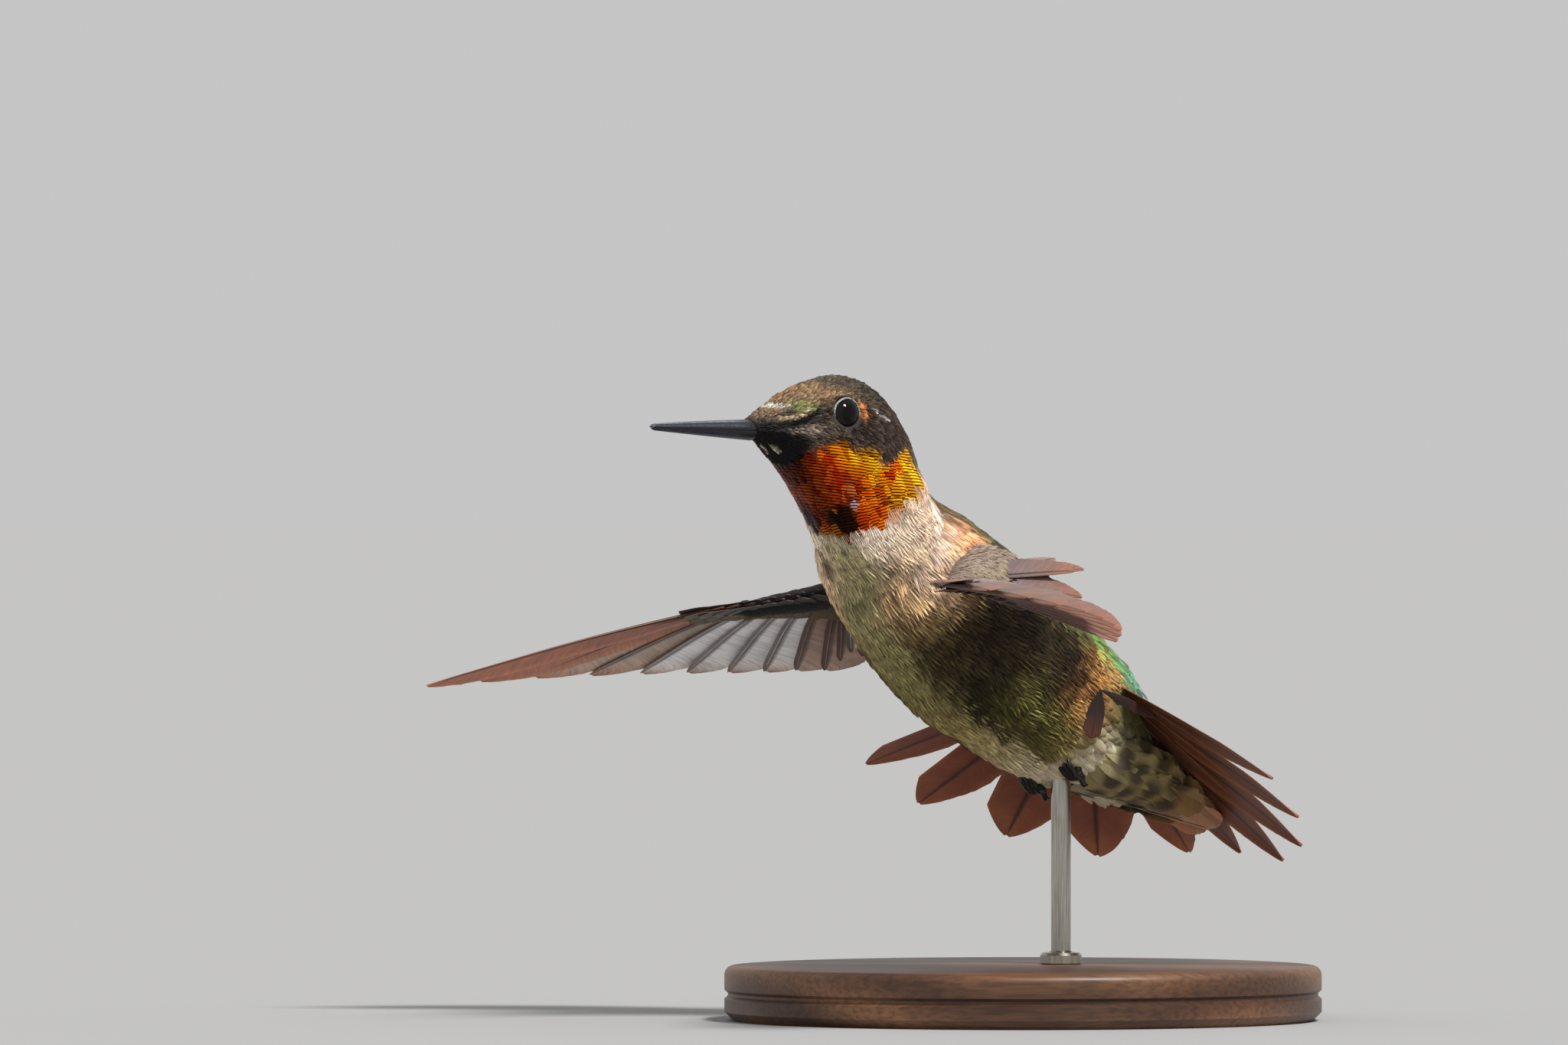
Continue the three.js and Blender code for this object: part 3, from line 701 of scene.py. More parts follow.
def vane_shape(name, blades):
    """Joins blades into one shape that is scaled and set by the coat's tree."""
    points, faces = join_parts([blade[:2] for blade in blades])
    ob = new_mesh(name, points / MM, faces, vane=np.concatenate([blade[2] for blade in blades]))
    ob.data.set_sharp_from_angle(angle=math.radians(50))
    return ob


# Outlines: place along and half width, for a blade a unit long.
SCALE_OUTLINE = [(0, 0.22), (0.35, 0.45), (0.65, 0.5), (0.86, 0.4), (0.97, 0.2), (1, 0)]
BLADE_OUTLINE = [(0, 0.2), (0.35, 0.46), (0.7, 0.42), (0.9, 0.2), (1, 0)]
BARB_OUTLINE = [(0, 0.06), (0.45, 0.1), (0.8, 0.07), (1, 0)]
# The barbs of a tuft: lean in degrees, shift across, height above the next.
TUFT_BARBS = [(-15, -0.3, 0.02), (-7, -0.15, 0.05), (0, 0.0, 0.03), (8, 0.16, 0.06), (14, 0.31, 0.01)]
VANES = {
    "scale": vane_shape("vane_scale", [sliver(SCALE_OUTLINE, 5, 0.4, 0.06, 0.04)]),
    "blade": vane_shape("vane_blade", [sliver(BLADE_OUTLINE, 3, 0.4, 0.08, 0.07)]),
    "tuft": vane_shape("vane_tuft", [
        sliver(BARB_OUTLINE, 3, 0.3, 0.06, 0.06, math.radians(turn), shift, lap)
        for turn, shift, lap in TUFT_BARBS
    ]),
}
print("vane faces:", {k: len(v.data.polygons) for k, v in VANES.items()})

# %% [markdown]
# ## The coat's tree
# Tens of thousands of small feathers follow one rule, so Geometry Nodes set them. Points are scattered
# on the skin no closer than a spacing, which gives the even, staggered rows of real plumage without a
# seam. Each point carries the skin's colour, the lie of the coat, the feather's size and its place on
# the unrolled skin. The vane is turned to the lie, tipped up by the lift, and the instances are made
# real.

# %% build the coat's tree
BAKE_PATCH = 0.003            # each feather's patch on the bake map
COAT_INPUTS = (
    ("Geometry", "Geometry", None),
    ("Vane", "Object", None),
    ("Spacing", "Float", 0.0004),
    ("Lift", "Float", 0.15),
    ("Splay", "Float", 0.25),
    ("Size spread", "Float", 0.3),
    ("Seed", "Int", 1),
    ("Material", "Material", None),
)
# Random draws for each feather: lowest, highest, and a number added to the seed.
DRAWS = {"chance": (0.0, 1.0, 11), "splay": (-1.0, 1.0, 23), "lift": (0.5, 1.5, 37), "size": (-1.0, 1.0, 51)}


def coat_tree():
    tree = bpy.data.node_groups.new("feather_coat", "GeometryNodeTree")
    for name, kind, value in COAT_INPUTS:
        socket = tree.interface.new_socket(name=name, in_out="INPUT", socket_type="NodeSocket" + kind)
        if value is not None:
            socket.default_value = value
    tree.interface.new_socket(name="Geometry", in_out="OUTPUT", socket_type="NodeSocketGeometry")
    given = add(tree, "NodeGroupInput", out=None)
    drawn = {}
    for name, (low, high, offset) in DRAWS.items():
        seed = add(tree, "ShaderNodeMath", (given["Seed"], offset), operation="ADD")
        drawn[name] = add(tree, "FunctionNodeRandomValue", {2: low, 3: high, "Seed": seed}, 1,
                          data_type="FLOAT")
    stored = {name: add(tree, "GeometryNodeInputNamedAttribute", {"Name": name},
                        data_type="FLOAT" if name == "here" else "FLOAT_VECTOR")
              for name in ("here", "up", "lie", "size", "vane", "bake")}

    # Scatter the points, and keep each one's draw and the way up.
    room = add(tree, "ShaderNodeMath", (given["Spacing"], 2.0), operation="POWER")
    scatter = add(tree, "GeometryNodeDistributePointsOnFaces", {
        "Mesh": given["Geometry"], "Distance Min": given["Spacing"],
        "Density Max": add(tree, "ShaderNodeMath", (3.0, room), operation="DIVIDE"),
        "Density Factor": stored["here"], "Seed": given["Seed"],
    }, None, distribute_method="POISSON")
    points = scatter["Points"]
    for name, kind, value in (("chance", "FLOAT", drawn["chance"]),
                              ("up", "FLOAT_VECTOR", scatter["Normal"])):
        points = add(tree, "GeometryNodeStoreNamedAttribute", {
            "Geometry": points, "Name": name, "Value": value,
        }, data_type=kind, domain="POINT")

    # Turn each feather down the lie, swung aside by the splay and tipped up by the lift.
    heading = stored["lie"]
    aside = add(tree, "ShaderNodeVectorMath", (stored["up"], heading), operation="CROSS_PRODUCT")
    for way, draw, amount in ((aside, "splay", "Splay"), (stored["up"], "lift", "Lift")):
        by = add(tree, "ShaderNodeMath", (drawn[draw], given[amount]), operation="MULTIPLY")
        part = add(tree, "ShaderNodeVectorMath", {0: way, "Scale": by}, operation="SCALE")
        heading = add(tree, "ShaderNodeVectorMath", (heading, part), operation="ADD")
    turned = add(tree, "FunctionNodeAxesToRotation", {
        "Primary Axis": heading, "Secondary Axis": stored["up"],
    }, primary_axis="Y", secondary_axis="Z")
    wider = add(tree, "ShaderNodeMath", (given["Size spread"], drawn["size"]), operation="MULTIPLY")
    wide = add(tree, "ShaderNodeMath", (1.0, wider), operation="ADD")
    placed = add(tree, "GeometryNodeInstanceOnPoints", {
        "Points": points,
        "Instance": add(tree, "GeometryNodeObjectInfo", {"Object": given["Vane"]}, "Geometry"),
        "Rotation": turned,
        "Scale": add(tree, "ShaderNodeVectorMath", {0: stored["size"], "Scale": wide}, operation="SCALE"),
    })

    # Make them real, give each its patch of the bake map, and dress them.
    real = add(tree, "GeometryNodeRealizeInstances", {"Geometry": placed})
    centred = add(tree, "ShaderNodeVectorMath", (stored["vane"], (0.0, 0.5, 0.0)), operation="SUBTRACT")
    patch = add(tree, "ShaderNodeVectorMath", {0: centred, "Scale": BAKE_PATCH / 2}, operation="SCALE")
    mapped = add(tree, "GeometryNodeStoreNamedAttribute", {
        "Geometry": real, "Name": "OFBake",
        "Value": add(tree, "ShaderNodeVectorMath", (stored["bake"], patch), operation="ADD"),
    }, data_type="FLOAT2", domain="CORNER")
    dressed = add(tree, "GeometryNodeSetMaterial", {"Geometry": mapped, "Material": given["Material"]})
    add(tree, "NodeGroupOutput", {"Geometry": dressed}, None)
    return tree


COAT = coat_tree()
print("nodes in the coat's tree:", len(COAT.nodes))

# %% [markdown]
# ## Growing a tract
# The tree is set on a base mesh as a modifier, its inputs are filled in by the names above, and what it
# makes is kept as one plain mesh. Values that only the tree needed are taken off again.

# %% grow
SPARE_VALUES = ("here", "lie", "size", "bake", "up")


def grow(name, base, material, **inputs):
    """Runs the coat's tree on a base mesh and keeps the result as one plain mesh."""
    keys = {item.name: item.identifier for item in COAT.interface.items_tree if item.in_out == "INPUT"}
    work = base.modifiers.new("coat", "NODES")
    work.node_group = COAT
    for label, value in {**inputs, "Material": material}.items():
        work[keys[label.replace("_", " ")]] = value
    graph = bpy.context.evaluated_depsgraph_get()
    mesh = bpy.data.meshes.new_from_object(base.evaluated_get(graph), preserve_all_data_layers=True,
                                           depsgraph=graph)
    base.modifiers.remove(work)
    for spare in SPARE_VALUES:
        if spare in mesh.attributes:
            mesh.attributes.remove(mesh.attributes[spare])
    made = bpy.data.objects.new(name, mesh)
    bpy.context.scene.collection.objects.link(made)
    print(name + ":", sum(len(p.vertices) - 2 for p in mesh.polygons), "triangles")
    return made


print("inputs of the tree:", [name for name, _, _ in COAT_INPUTS])

# %% [markdown]
# ## What plumage looks like
# A feather is keratin: matt where the barbs are loose, and with a metallic play of colour where they
# lock flat, as on the back. The material takes the marking from the feather itself, draws barbs as
# fine streaks along it, darkens the part that its neighbours hide as painted shade, and lets each
# feather differ a little from the next. Real barbs are 0.03 mm apart, too fine to show, so they are
# drawn coarser, about a dozen to a feather.


# %% plumage material
def plumage(name, streak=(0.5, 1.4), barb_scale=4.5, metal=0.0, rough=0.6, shadow=0.4, sheen=0.05,
            vary=(0.75, 1.25), gloss=0.2, hues=(0.488, 0.512)):
    """Soft feathers. Streak is the tone between barbs and on them, and shadow that of the hidden part.

    Vary and hues are how far feathers differ in tone and hue.
    """
    made, tree, shader, vane, tint, chance = new_material(name, "vane", "tint", "chance")
    axes = add(tree, "ShaderNodeSeparateXYZ", (vane,), None)
    across = add(tree, "ShaderNodeMath", (axes["X"], barb_scale), operation="MULTIPLY")
    each = add(tree, "ShaderNodeMath", (chance, 37.0), operation="MULTIPLY")
    barb = add(tree, "ShaderNodeCombineXYZ", (across, axes["Y"], each))
    fine = add(tree, "ShaderNodeTexNoise", {"Vector": barb, "Scale": 1.6, "Detail": 2.0}, "Fac")
    lit = toned(tree, tint, (fine, 0.32, 0.68, *streak), (axes["Y"], 0.2, 0.75, shadow, 1.0),
                (chance, 0.0, 1.0, *vary))
    hue = add(tree, "ShaderNodeMapRange", (chance, 0.0, 1.0, *hues))
    set_inputs(tree, shader, {
        "Base Color": add(tree, "ShaderNodeHueSaturation", {"Hue": hue, "Color": lit}),
        "Roughness": rough, "Metallic": metal, "Sheen Weight": sheen, "Sheen Roughness": 0.5,
        "Specular IOR Level": gloss,
        "Normal": add(tree, "ShaderNodeBump", {"Strength": 0.35, "Distance": 0.05 * MM, "Height": fine}),
    })
    return made


# Long silky barbs, parted: the pale collar looks brushed, not smooth.
COLLAR_DOWN = plumage("collar_feathers", streak=(0.25, 1.8), barb_scale=6.0, shadow=0.6, vary=(0.9, 1.2))
# Close and nearly matt: the belly reads as one soft ground, with painted shade between its feathers.
BELLY_DOWN = plumage("belly_feathers", streak=(0.4, 1.6), barb_scale=6.0, shadow=0.3, vary=(0.82, 1.15),
                     gloss=0.1)
# Loose down: little contrast and no gloss, so it looks like fluff.
FLUFF = plumage("downy_fluff", streak=(0.75, 1.25), barb_scale=6.0, shadow=0.75, vary=(0.95, 1.1), gloss=0.05)
# Strong streaks and uneven feathers: the flank looks shaggy and deep.
BODY_DOWN = plumage("body_contour_feathers", streak=(0.0, 2.9), barb_scale=6.0, shadow=0.4, vary=(0.55, 1.5))
# Small, close and even: the arm looks smooth, like short fur.
ARM_DOWN = plumage("small_wing_coverts", streak=(0.6, 1.4), shadow=0.55, vary=(0.9, 1.15))
# Tiny stiff scales, each of its own tone: the face looks grained, with a slight gleam.
FACE_DOWN = plumage("face_feathers", streak=(0.35, 1.6), rough=0.5, shadow=0.2, sheen=0.0, vary=(0.4, 1.7),
                    gloss=0.15)
# Back feathers lock loosely: a green metal gloss over a matt ground, shifting from feather to feather.
BACK_SHEEN = plumage("iridescent_back_feathers", metal=0.35, rough=0.42, gloss=0.5, vary=(0.5, 1.7),
                     hues=(0.45, 0.54))
print("soft plumages:", len(bpy.data.materials))

# %% [markdown]
# ## Throat scales and bare skin
# The throat's colour comes from structure, not from pigment. Its scales are broad and flat, and their
# barbules lie in rows that run on from scale to scale, so the material draws one set of bright and
# dark rows across all of them. Under every coat the skin is dull, a darker tone of what covers it:
# painted shade between the feathers.


# %% throat and skin materials
def throat_material():
    """Locked barbules shine like metal in bright rows, with dark gaps that make the throat sparkle."""
    made, tree, shader, place_in, row, vane, tint, chance = new_material(
        "iridescent_throat_scales", "place", "row", "vane", "tint", "chance")
    across = add(tree, "ShaderNodeVectorMath", (place_in, row), "Value", operation="DOT_PRODUCT")
    from_shaft = add(tree, "ShaderNodeSeparateXYZ", (vane,), "X")
    squared = add(tree, "ShaderNodeMath", (from_shaft, 2.0), operation="POWER")
    bow = add(tree, "ShaderNodeMath", (squared, -0.25), operation="MULTIPLY")
    staggered = add(tree, "ShaderNodeMath", (chance, 0.22, across), operation="MULTIPLY_ADD")
    phase = add(tree, "ShaderNodeMath", (staggered, bow), operation="ADD")
    turns = add(tree, "ShaderNodeMath", (phase, 2 * math.pi), operation="MULTIPLY")
    wave = add(tree, "ShaderNodeMath", (turns,), operation="SINE")
    band = add(tree, "ShaderNodeMapRange", (wave, -0.7, 0.15, 0.03, 1.3))
    to_rim = add(tree, "ShaderNodeMath", (from_shaft,), operation="ABSOLUTE")
    banded = add(tree, "ShaderNodeVectorMath", {0: tint, "Scale": band}, operation="SCALE")
    lit = toned(tree, banded, (chance, 0.0, 1.0, 0.6, 1.4), (to_rim, 0.75, 1.0, 1.0, 0.45))
    hue = add(tree, "ShaderNodeMapRange", (chance, 0.0, 1.0, 0.492, 0.516))
    set_inputs(tree, shader, {
        "Base Color": add(tree, "ShaderNodeHueSaturation", {"Hue": hue, "Saturation": 1.08, "Color": lit}),
        "Roughness": 0.38, "Metallic": 0.35, "Specular IOR Level": 0.05,
        "Normal": add(tree, "ShaderNodeBump", {"Strength": 0.35, "Distance": 0.03 * MM, "Height": band}),
    })
    return made


def skin_material():
    """Skin and underdown: dull and mottled, it reads as the shade between feathers."""
    made, tree, shader, place_in, tint = new_material("bird_skin_and_down", "place", "tint")
    down = add(tree, "ShaderNodeTexNoise", {"Vector": place_in, "Scale": 1 / (0.5 * MM), "Detail": 3.0}, "Fac")
    set_inputs(tree, shader, {
        "Base Color": toned(tree, tint, (down, 0.0, 1.0, 0.2, 0.6)),
        "Roughness": 0.8,
        "Normal": add(tree, "ShaderNodeBump", {"Distance": 0.1 * MM, "Height": down}),
    })
    return made


THROAT_SCALES = throat_material()
SKIN_LOOK = skin_material()
finish_piece(skin, SKIN_LOOK, "breast_plumage", "head", "neck", "breast", "belly", "rump")
print("materials so far:", len(bpy.data.materials))

# %% [markdown]
# ## Lie of the coat
# Before feathers can be set, each point of the skin says how a feather would lie there. Feathers lie
# from bill to tail, hang down on the throat, sweep rearward over the collar and part round the eye.
# They could be combed by hand. As a rule, the lie is a sum of directions laid down on the skin.


# %% lie of the coat
def grid_slopes(points, along, columns):
    """Unit directions down the lie, the outward normal, and millimetres for each row of a net."""
    net = points.reshape(along, columns, 3)
    down = np.gradient(net, axis=0)
    round_ = np.empty_like(net)
    round_[:, 1:-1] = net[:, 2:] - net[:, :-2]
    round_[:, 0] = round_[:, -1] = net[:, 1] - net[:, -2]
    out = normalised(np.cross(round_, down)).reshape(-1, 3)
    down = down.reshape(-1, 3)
    return normalised(down), out, np.linalg.norm(down, axis=1)


def laid_on(direction, normal):
    """A direction laid down on the surface."""
    return normalised(direction - normal * (direction * normal).sum(1, keepdims=True))


lie, normal, pace = grid_slopes(points, SKIN_ROWS, SKIN_COLUMNS + 1)
pace = pace * (SKIN_ROWS - 1) / BODY_END
degrees = np.abs(np.degrees(angle))
lids = from_lids(points)

# Throat feathers hang down and back from the bill, whatever way the neck turns.
hanging = laid_on(np.array([[0.25, 0.3, -1.0]]) + 0 * points, normal)
throat_zone = gorget_mask(place, degrees) * (1 - 0.75 * soft(degrees, 130, 170))
lie = laid_on(lie + hanging * (1.6 * throat_zone)[:, None], normal)
# Rows of the coat wander a little.
wander = np.sin(points @ [0.9, 0.5, 0.7]) + np.sin(points @ [-0.5, 0.8, 1.3] + 2) \
    + np.sin(points @ [1.7, -1.1, 0.6])
lie = laid_on(lie + np.cross(normal, lie) * (0.09 * wander * soft(place, 5.5, 7))[:, None], normal)
# Over the collar and breast the coat sweeps rearward.
swept = laid_on(np.array([[0.85, 0.35, -0.55]]) + 0 * points, normal)
lie = laid_on(lie + swept * (1.1 * soft(place, 5.9, 6.3) * (1 - soft(place, 7.6, 9.2)))[:, None], normal)
# Feathers part round the eye.
front_of_eye = 0 * place
for side in (1, -1):
    middle = eye_opening(side)
    toward = laid_on(middle - points, normal)
    close = np.exp(-(np.clip(np.linalg.norm(points - middle, axis=1) - 1.5, 0, None) / 1.0) ** 2)
    pull = np.clip((lie * toward).sum(1), 0, None) * close
    front_of_eye = np.maximum(front_of_eye, pull)
    lie = laid_on(lie - toward * pull[:, None] * 1.35, normal)
print("length of the coat along the back, mm:",
      round(float(pace.reshape(SKIN_ROWS, -1)[:, SKIN_COLUMNS // 2].mean() * BODY_END), 1))

# %% [markdown]
# ## Sizes and colours of the feathers
# Feathers are smallest on the face, a millimetre or less, and about three on the belly. A feather's
# colour is read where its visible tip lies, not at its hidden root, so that edges fall where they
# should. The throat's rows of barbules get their direction here too.

# %% sizes and seen colours
# Length and width of a feather in millimetres, by place along the body.
SIZE_PLACES = [0, 0.8, 2, 4, 5.2, 6.2, 7.5, 9.5, 12, 15]
long_mm = np.interp(place, SIZE_PLACES, [0.5, 0.62, 0.85, 1.1, 1.3, 2.2, 2.8, 3.1, 3.0, 2.4])
wide_mm = np.interp(place, SIZE_PLACES, [0.3, 0.34, 0.44, 0.56, 0.7, 1.2, 1.5, 1.6, 1.6, 1.3])
near = np.exp(-((lids - 1.5) / 0.8) ** 2)
long_mm, wide_mm = long_mm * (1 - 0.45 * near), wide_mm * (1 - 0.35 * near)
size = np.stack([wide_mm, long_mm, wide_mm], 1) * MM
scale_mm = np.interp(place, [2, 3.5, 5], [0.95, 1.4, 1.6])
scale_size = np.stack([scale_mm * 0.92, scale_mm * 1.25, scale_mm * 0.6], 1) * MM

# Colours are read where a feather's tip lies.
seen = np.minimum(place + 0.6 * long_mm / np.maximum(pace, 0.5), BODY_END)
seen_colour = markings(seen, angle, surface(BODY, seen, angle, coat_depth(seen, angle)))
seen_gorget = gorget_mask(seen, degrees)
clear = (lids > 1.55 + 0.45 * np.clip(front_of_eye, 0, 1)).astype(float)

# Rows of the throat's barbules: nearly level under the eye, rising to the right along the lower edge.
# Real ones are far finer: these are drawn 0.29 mm apart, so that they show.
BARBULE_ROWS = 0.29 * MM
tilt = np.radians(-7 + 30 * soft(degrees, 85, 130) * soft(place, 4.0, 5.5))
row_axis = np.stack([np.sin(tilt), 0 * tilt, -np.cos(tilt)], 1) / BARBULE_ROWS
print("feather length, mm:", round(float(long_mm.min()), 2), "to", round(float(long_mm.max()), 2))

# %% [markdown]
# ## Tracts
# A bird's feathers grow in tracts, each with its own kind and spacing. Nine cover this body, and each
# is grown from the same base mesh with its own mask. Their edges waver a little, as real ones do.

# %% grow the tracts
on_back = (degrees < 50 + 6 * np.sin(place * 5)) & (seen > 5.3)
fluff = seen >= np.interp(degrees, [50, 80], [12.4, 11.5])
rear = (seen >= 10.3) & ~fluff
front = degrees > 138 + 5 * np.sin(place * 4)
collar_end = np.interp(degrees, [60, 90, 115, 150], [8.2, 8.0, 7.4, 6.8]) + 0.15 * np.sin(degrees * 0.7)
throat = seen_gorget >= 0.5
on_side = ~on_back & ~front
TRACTS = {
    # name: (mask, sizes, vane, spacing mm, lift, splay, seed, material, slot)
    "coat_face": ((seen < 5.25) & ~throat,
                  size, "blade", 0.21, 0.13, 0.22, 3, FACE_DOWN, "crown_plumage"),
    "coat_gorget": (throat, scale_size, "scale", 0.52, 0.07, 0.06, 5, THROAT_SCALES, "gorget_plumage"),
    "coat_collar": ((seen >= 5.25) & (seen < collar_end) & ~throat & ~on_back,
                    size, "tuft", 0.38, 0.12, 0.18, 7, COLLAR_DOWN, "breast_plumage"),
    "coat_breast": ((seen >= collar_end) & (seen < 9.4) & on_side,
                    size, "tuft", 0.4, 0.12, 0.2, 8, BODY_DOWN, "breast_plumage"),
    "coat_front": ((seen >= collar_end) & front & ~fluff,
                   size, "tuft", 0.4, 0.12, 0.18, 14, BELLY_DOWN, "belly_plumage"),
    "coat_belly": ((seen >= 9.4) & (seen < 10.3) & on_side,
                   size, "tuft", 0.4, 0.12, 0.22, 9, BODY_DOWN, "belly_plumage"),
    "coat_vent": (rear & on_side, size, "tuft", 0.4, 0.12, 0.2, 10, BODY_DOWN, "belly_plumage"),
    "coat_fluff": (fluff & ~on_back, size, "scale", 0.55, 0.14, 0.3, 12, FLUFF, "undertail_plumage"),
    "coat_back": (on_back, size, "blade", 0.3, 0.12, 0.15, 13, BACK_SHEEN, "rump_plumage"),
}
coat_base = facing_out(new_mesh("coat_base", points, skin_faces, seen_colour, lie=lie, here=clear, size=size,
                                row=row_axis, bake=bake_places(place, angle, 0, BODY_END)))
for tract, (mask, sizes, vane, spacing, lift, splay, seed, look, slot) in TRACTS.items():
    coat_base.data.attributes["here"].data.foreach_set("value", (mask * clear).astype(np.float32))
    coat_base.data.attributes["size"].data.foreach_set("vector", sizes.astype(np.float32).ravel())
    coat_base.data.update()
    finish_piece(grow(tract, coat_base, look, Vane=VANES[vane], Spacing=spacing * MM, Lift=lift, Splay=splay,
                      Size_spread=0.22, Seed=seed), None, slot)
bpy.data.objects.remove(coat_base)
print("tracts:", len(TRACTS))

# %% [markdown]
# ## Eyes
# A hummingbird's eye is a dark, wet ball that fills most of its socket. The lids are a thin grey ring
# beaded with tiny scales. A plain sphere would look flat, so the ball has a bulged cornea and a deep
# brown iris round the pupil, under a clear coat that holds the room's reflection.


# %% eye and lid materials
def eye_material():
    """Wet cornea over a nearly black iris: black to the eye, with one sharp highlight."""
    made, tree, shader, polar = new_material("wet_dark_eye", "polar")
    set_inputs(tree, shader, {
        "Base Color": add(tree, "ShaderNodeValToRGB", (polar,), stops=[
            (0.0, "#010102"), (0.42, "#020204"), (0.52, "#120b0a"), (0.7, "#170e0b"), (0.8, "#060505")]),
        "Roughness": 0.3, "IOR": 1.376, "Specular IOR Level": 0.0,
        "Coat Weight": 0.7, "Coat IOR": 1.376, "Coat Roughness": 0.02,
    })
    return made


def beaded_material(name, bead_mm, deep_mm, rough, stops):
    """Bare scaly skin: beads of a size in millimetres, with creases of a depth between them."""
    made, tree, shader, place_in = new_material(name, "place")
    beads = add(tree, "ShaderNodeTexVoronoi", {"Vector": place_in, "Scale": 1 / (bead_mm * MM)}, "Distance")
    set_inputs(tree, shader, {
        "Base Color": add(tree, "ShaderNodeValToRGB", (beads,), stops=stops),
        "Roughness": rough,
        "Normal": add(tree, "ShaderNodeBump", {"Distance": deep_mm * MM, "Height": beads}, invert=True),
    })
    return made


EYE_LOOK = eye_material()
# Eyelid skin: dry and grey, with pale beads that make the ring look rough.
LID_LOOK = beaded_material("eyelid_skin", 0.2, 0.04, 0.5,
                           [(0.0, "#d0d4ca"), (0.45, "#9a9e94"), (0.9, "#45443e")])
print("materials so far:", len(bpy.data.materials))

# %% [markdown]
# ### Ball and ring
# The ball is a net of rings round the direction it looks in. The lids are a small rounded profile
# turned round the same line, lifted in even beads.


# %% eyes and lids
def eye_axes(axis):
    """Across and up, square to the direction an eye looks in, and that direction."""
    across = normalised(np.cross(axis, HEAD_UP))
    return across, np.cross(across, axis), axis


BALL_RINGS, BALL_AROUND = 41, 56
ball_polar = np.linspace(0, math.pi, BALL_RINGS)
ball_radius = EYE["radius"] + 0.1 * np.exp(-(ball_polar / 0.55) ** 2)      # bulged in front, at the cornea
ball = list(zip(ball_radius * np.cos(ball_polar), ball_radius * np.sin(ball_polar)))

LID = {"points": 9, "width": 0.06, "height": 0.07, "clear": 0.035, "beads": 30, "bead": 0.012, "around": 120}
lid_turn = np.linspace(0, 2 * math.pi, LID["points"], endpoint=False)
lid_polar = math.asin(EYE["opening"] / EYE["radius"]) + 0.03 + LID["width"] * np.cos(lid_turn)
lid_radius = EYE["radius"] + LID["clear"] + LID["height"] * np.sin(lid_turn)
rolled = list(zip(lid_radius * np.cos(lid_polar), lid_radius * np.sin(lid_polar)))

for name, side in (("left", 1), ("right", -1)):
    centre, axis = eye_frame(side)
    eyeball = revolved("eyeball_" + name, ball, centre, eye_axes(axis), BALL_AROUND,
                       polar=np.repeat(ball_polar, BALL_AROUND))
    finish_piece(outward(eyeball), EYE_LOOK, "eye", "eye_" + name)
    eyelid = revolved("eyelid_" + name, rolled, centre, eye_axes(axis), LID["around"], LID["bead"],
                      LID["beads"], closed=True)
    finish_piece(outward(eyelid), LID_LOOK, "leg_scales")
print("eyeball width, mm:", 2 * EYE["radius"])

# %% [markdown]
# ## Bill
# The bill is two slim horn sheaths, the upper slightly longer, parted by a hair. Lofting half rings
# from root to tip gives the ridge along its top, the cutting edges and the even taper. The horn is
# nearly black at the root; the black at the cutting edges is painted shade of the gape, and the pale
# grey streaks along the sides and the ridge are painted highlights.

# %% bill
BILL = {"length": 14.2, "width": 2.3, "root": 0.1, "blunt": 0.26, "taper": 0.75, "stations": 46, "around": 30}
# Horn colours by degrees from the cutting edge (0) to the ridge (90): the pale bands are painted
# highlights, and the black at the cutting edge is painted shade of the gape.
UPPER_HORN = [(0, "#030304"), (14, "#08080b"), (28, "#3e4354"), (42, "#1c1e27"), (56, "#15161d"),
              (68, "#7c7f8d"), (78, "#3e404b"), (90, "#1a1b22")]
LOWER_HORN = [(0, "#030304"), (16, "#0a0b0f"), (36, "#30364a"), (60, "#1a1c26"), (90, "#0e0f13")]


def half_bill(name, sign, length, depth, droop, horn):
    """One sheath of the bill. Sign is 1 for the upper and -1 for the lower."""
    stations, around = BILL["stations"], BILL["around"]
    points = []
    for i in range(stations):
        t = i / (stations - 1)
        size_at = BILL["blunt"] + (1 - BILL["blunt"]) * (1 - t) ** BILL["taper"]
        size_at *= math.sqrt(max(0.0, 1 - max(0.0, (t - 0.965) / 0.037) ** 2))
        lift = sign * (0.01 + 0.07 * t ** 6) - droop * t * t - 0.35 * (1 - t)
        centre = behind_bill(-(BILL["root"] + t * length), lift)
        for k in range(around):
            turn = math.pi * k / (around - 1)
            ridge = 1 + 0.1 * math.exp(-((turn - math.pi / 2) / 0.35) ** 2)
            points.append(centre + HEAD_LEFT * 0.5 * BILL["width"] * size_at * math.cos(turn)
                          + HEAD_UP * sign * depth * size_at * math.sin(turn) * ridge)
    degrees_up = 90 - np.abs(np.linspace(-90, 90, around))
    near_root = 1 - soft(np.repeat(np.linspace(0, 1, stations), around), 0.02, 0.22)
    colours = blend(gradient(np.tile(degrees_up, stations), horn), 0.85 * near_root, linear("#050507"))
    return outward(new_mesh(name, np.array(points), tube_faces(stations, around), colours))


def horn_material():
    """Keratin horn, grown in fine lengthwise lines: black and satin, over the painted highlights of its
    colours.
    """
    made, tree, shader, place_in, tint = new_material("black_bill_horn", "place", "tint")
    along = add(tree, "ShaderNodeMapping", {"Vector": place_in, "Rotation": (0, 0, -HEAD_YAW),
                                            "Scale": (0.05, 1.0, 1.0)})
    lines = add(tree, "ShaderNodeTexNoise", {"Vector": along, "Scale": 1 / (0.2 * MM), "Detail": 3.0}, "Fac")
    set_inputs(tree, shader, {
        "Base Color": toned(tree, tint, (lines, 0.35, 0.7, 0.5, 1.6)),
        "Roughness": 0.34,
        "Normal": add(tree, "ShaderNodeBump", {"Strength": 0.5, "Distance": 0.03 * MM, "Height": lines}),
    })
    return made


HORN = horn_material()
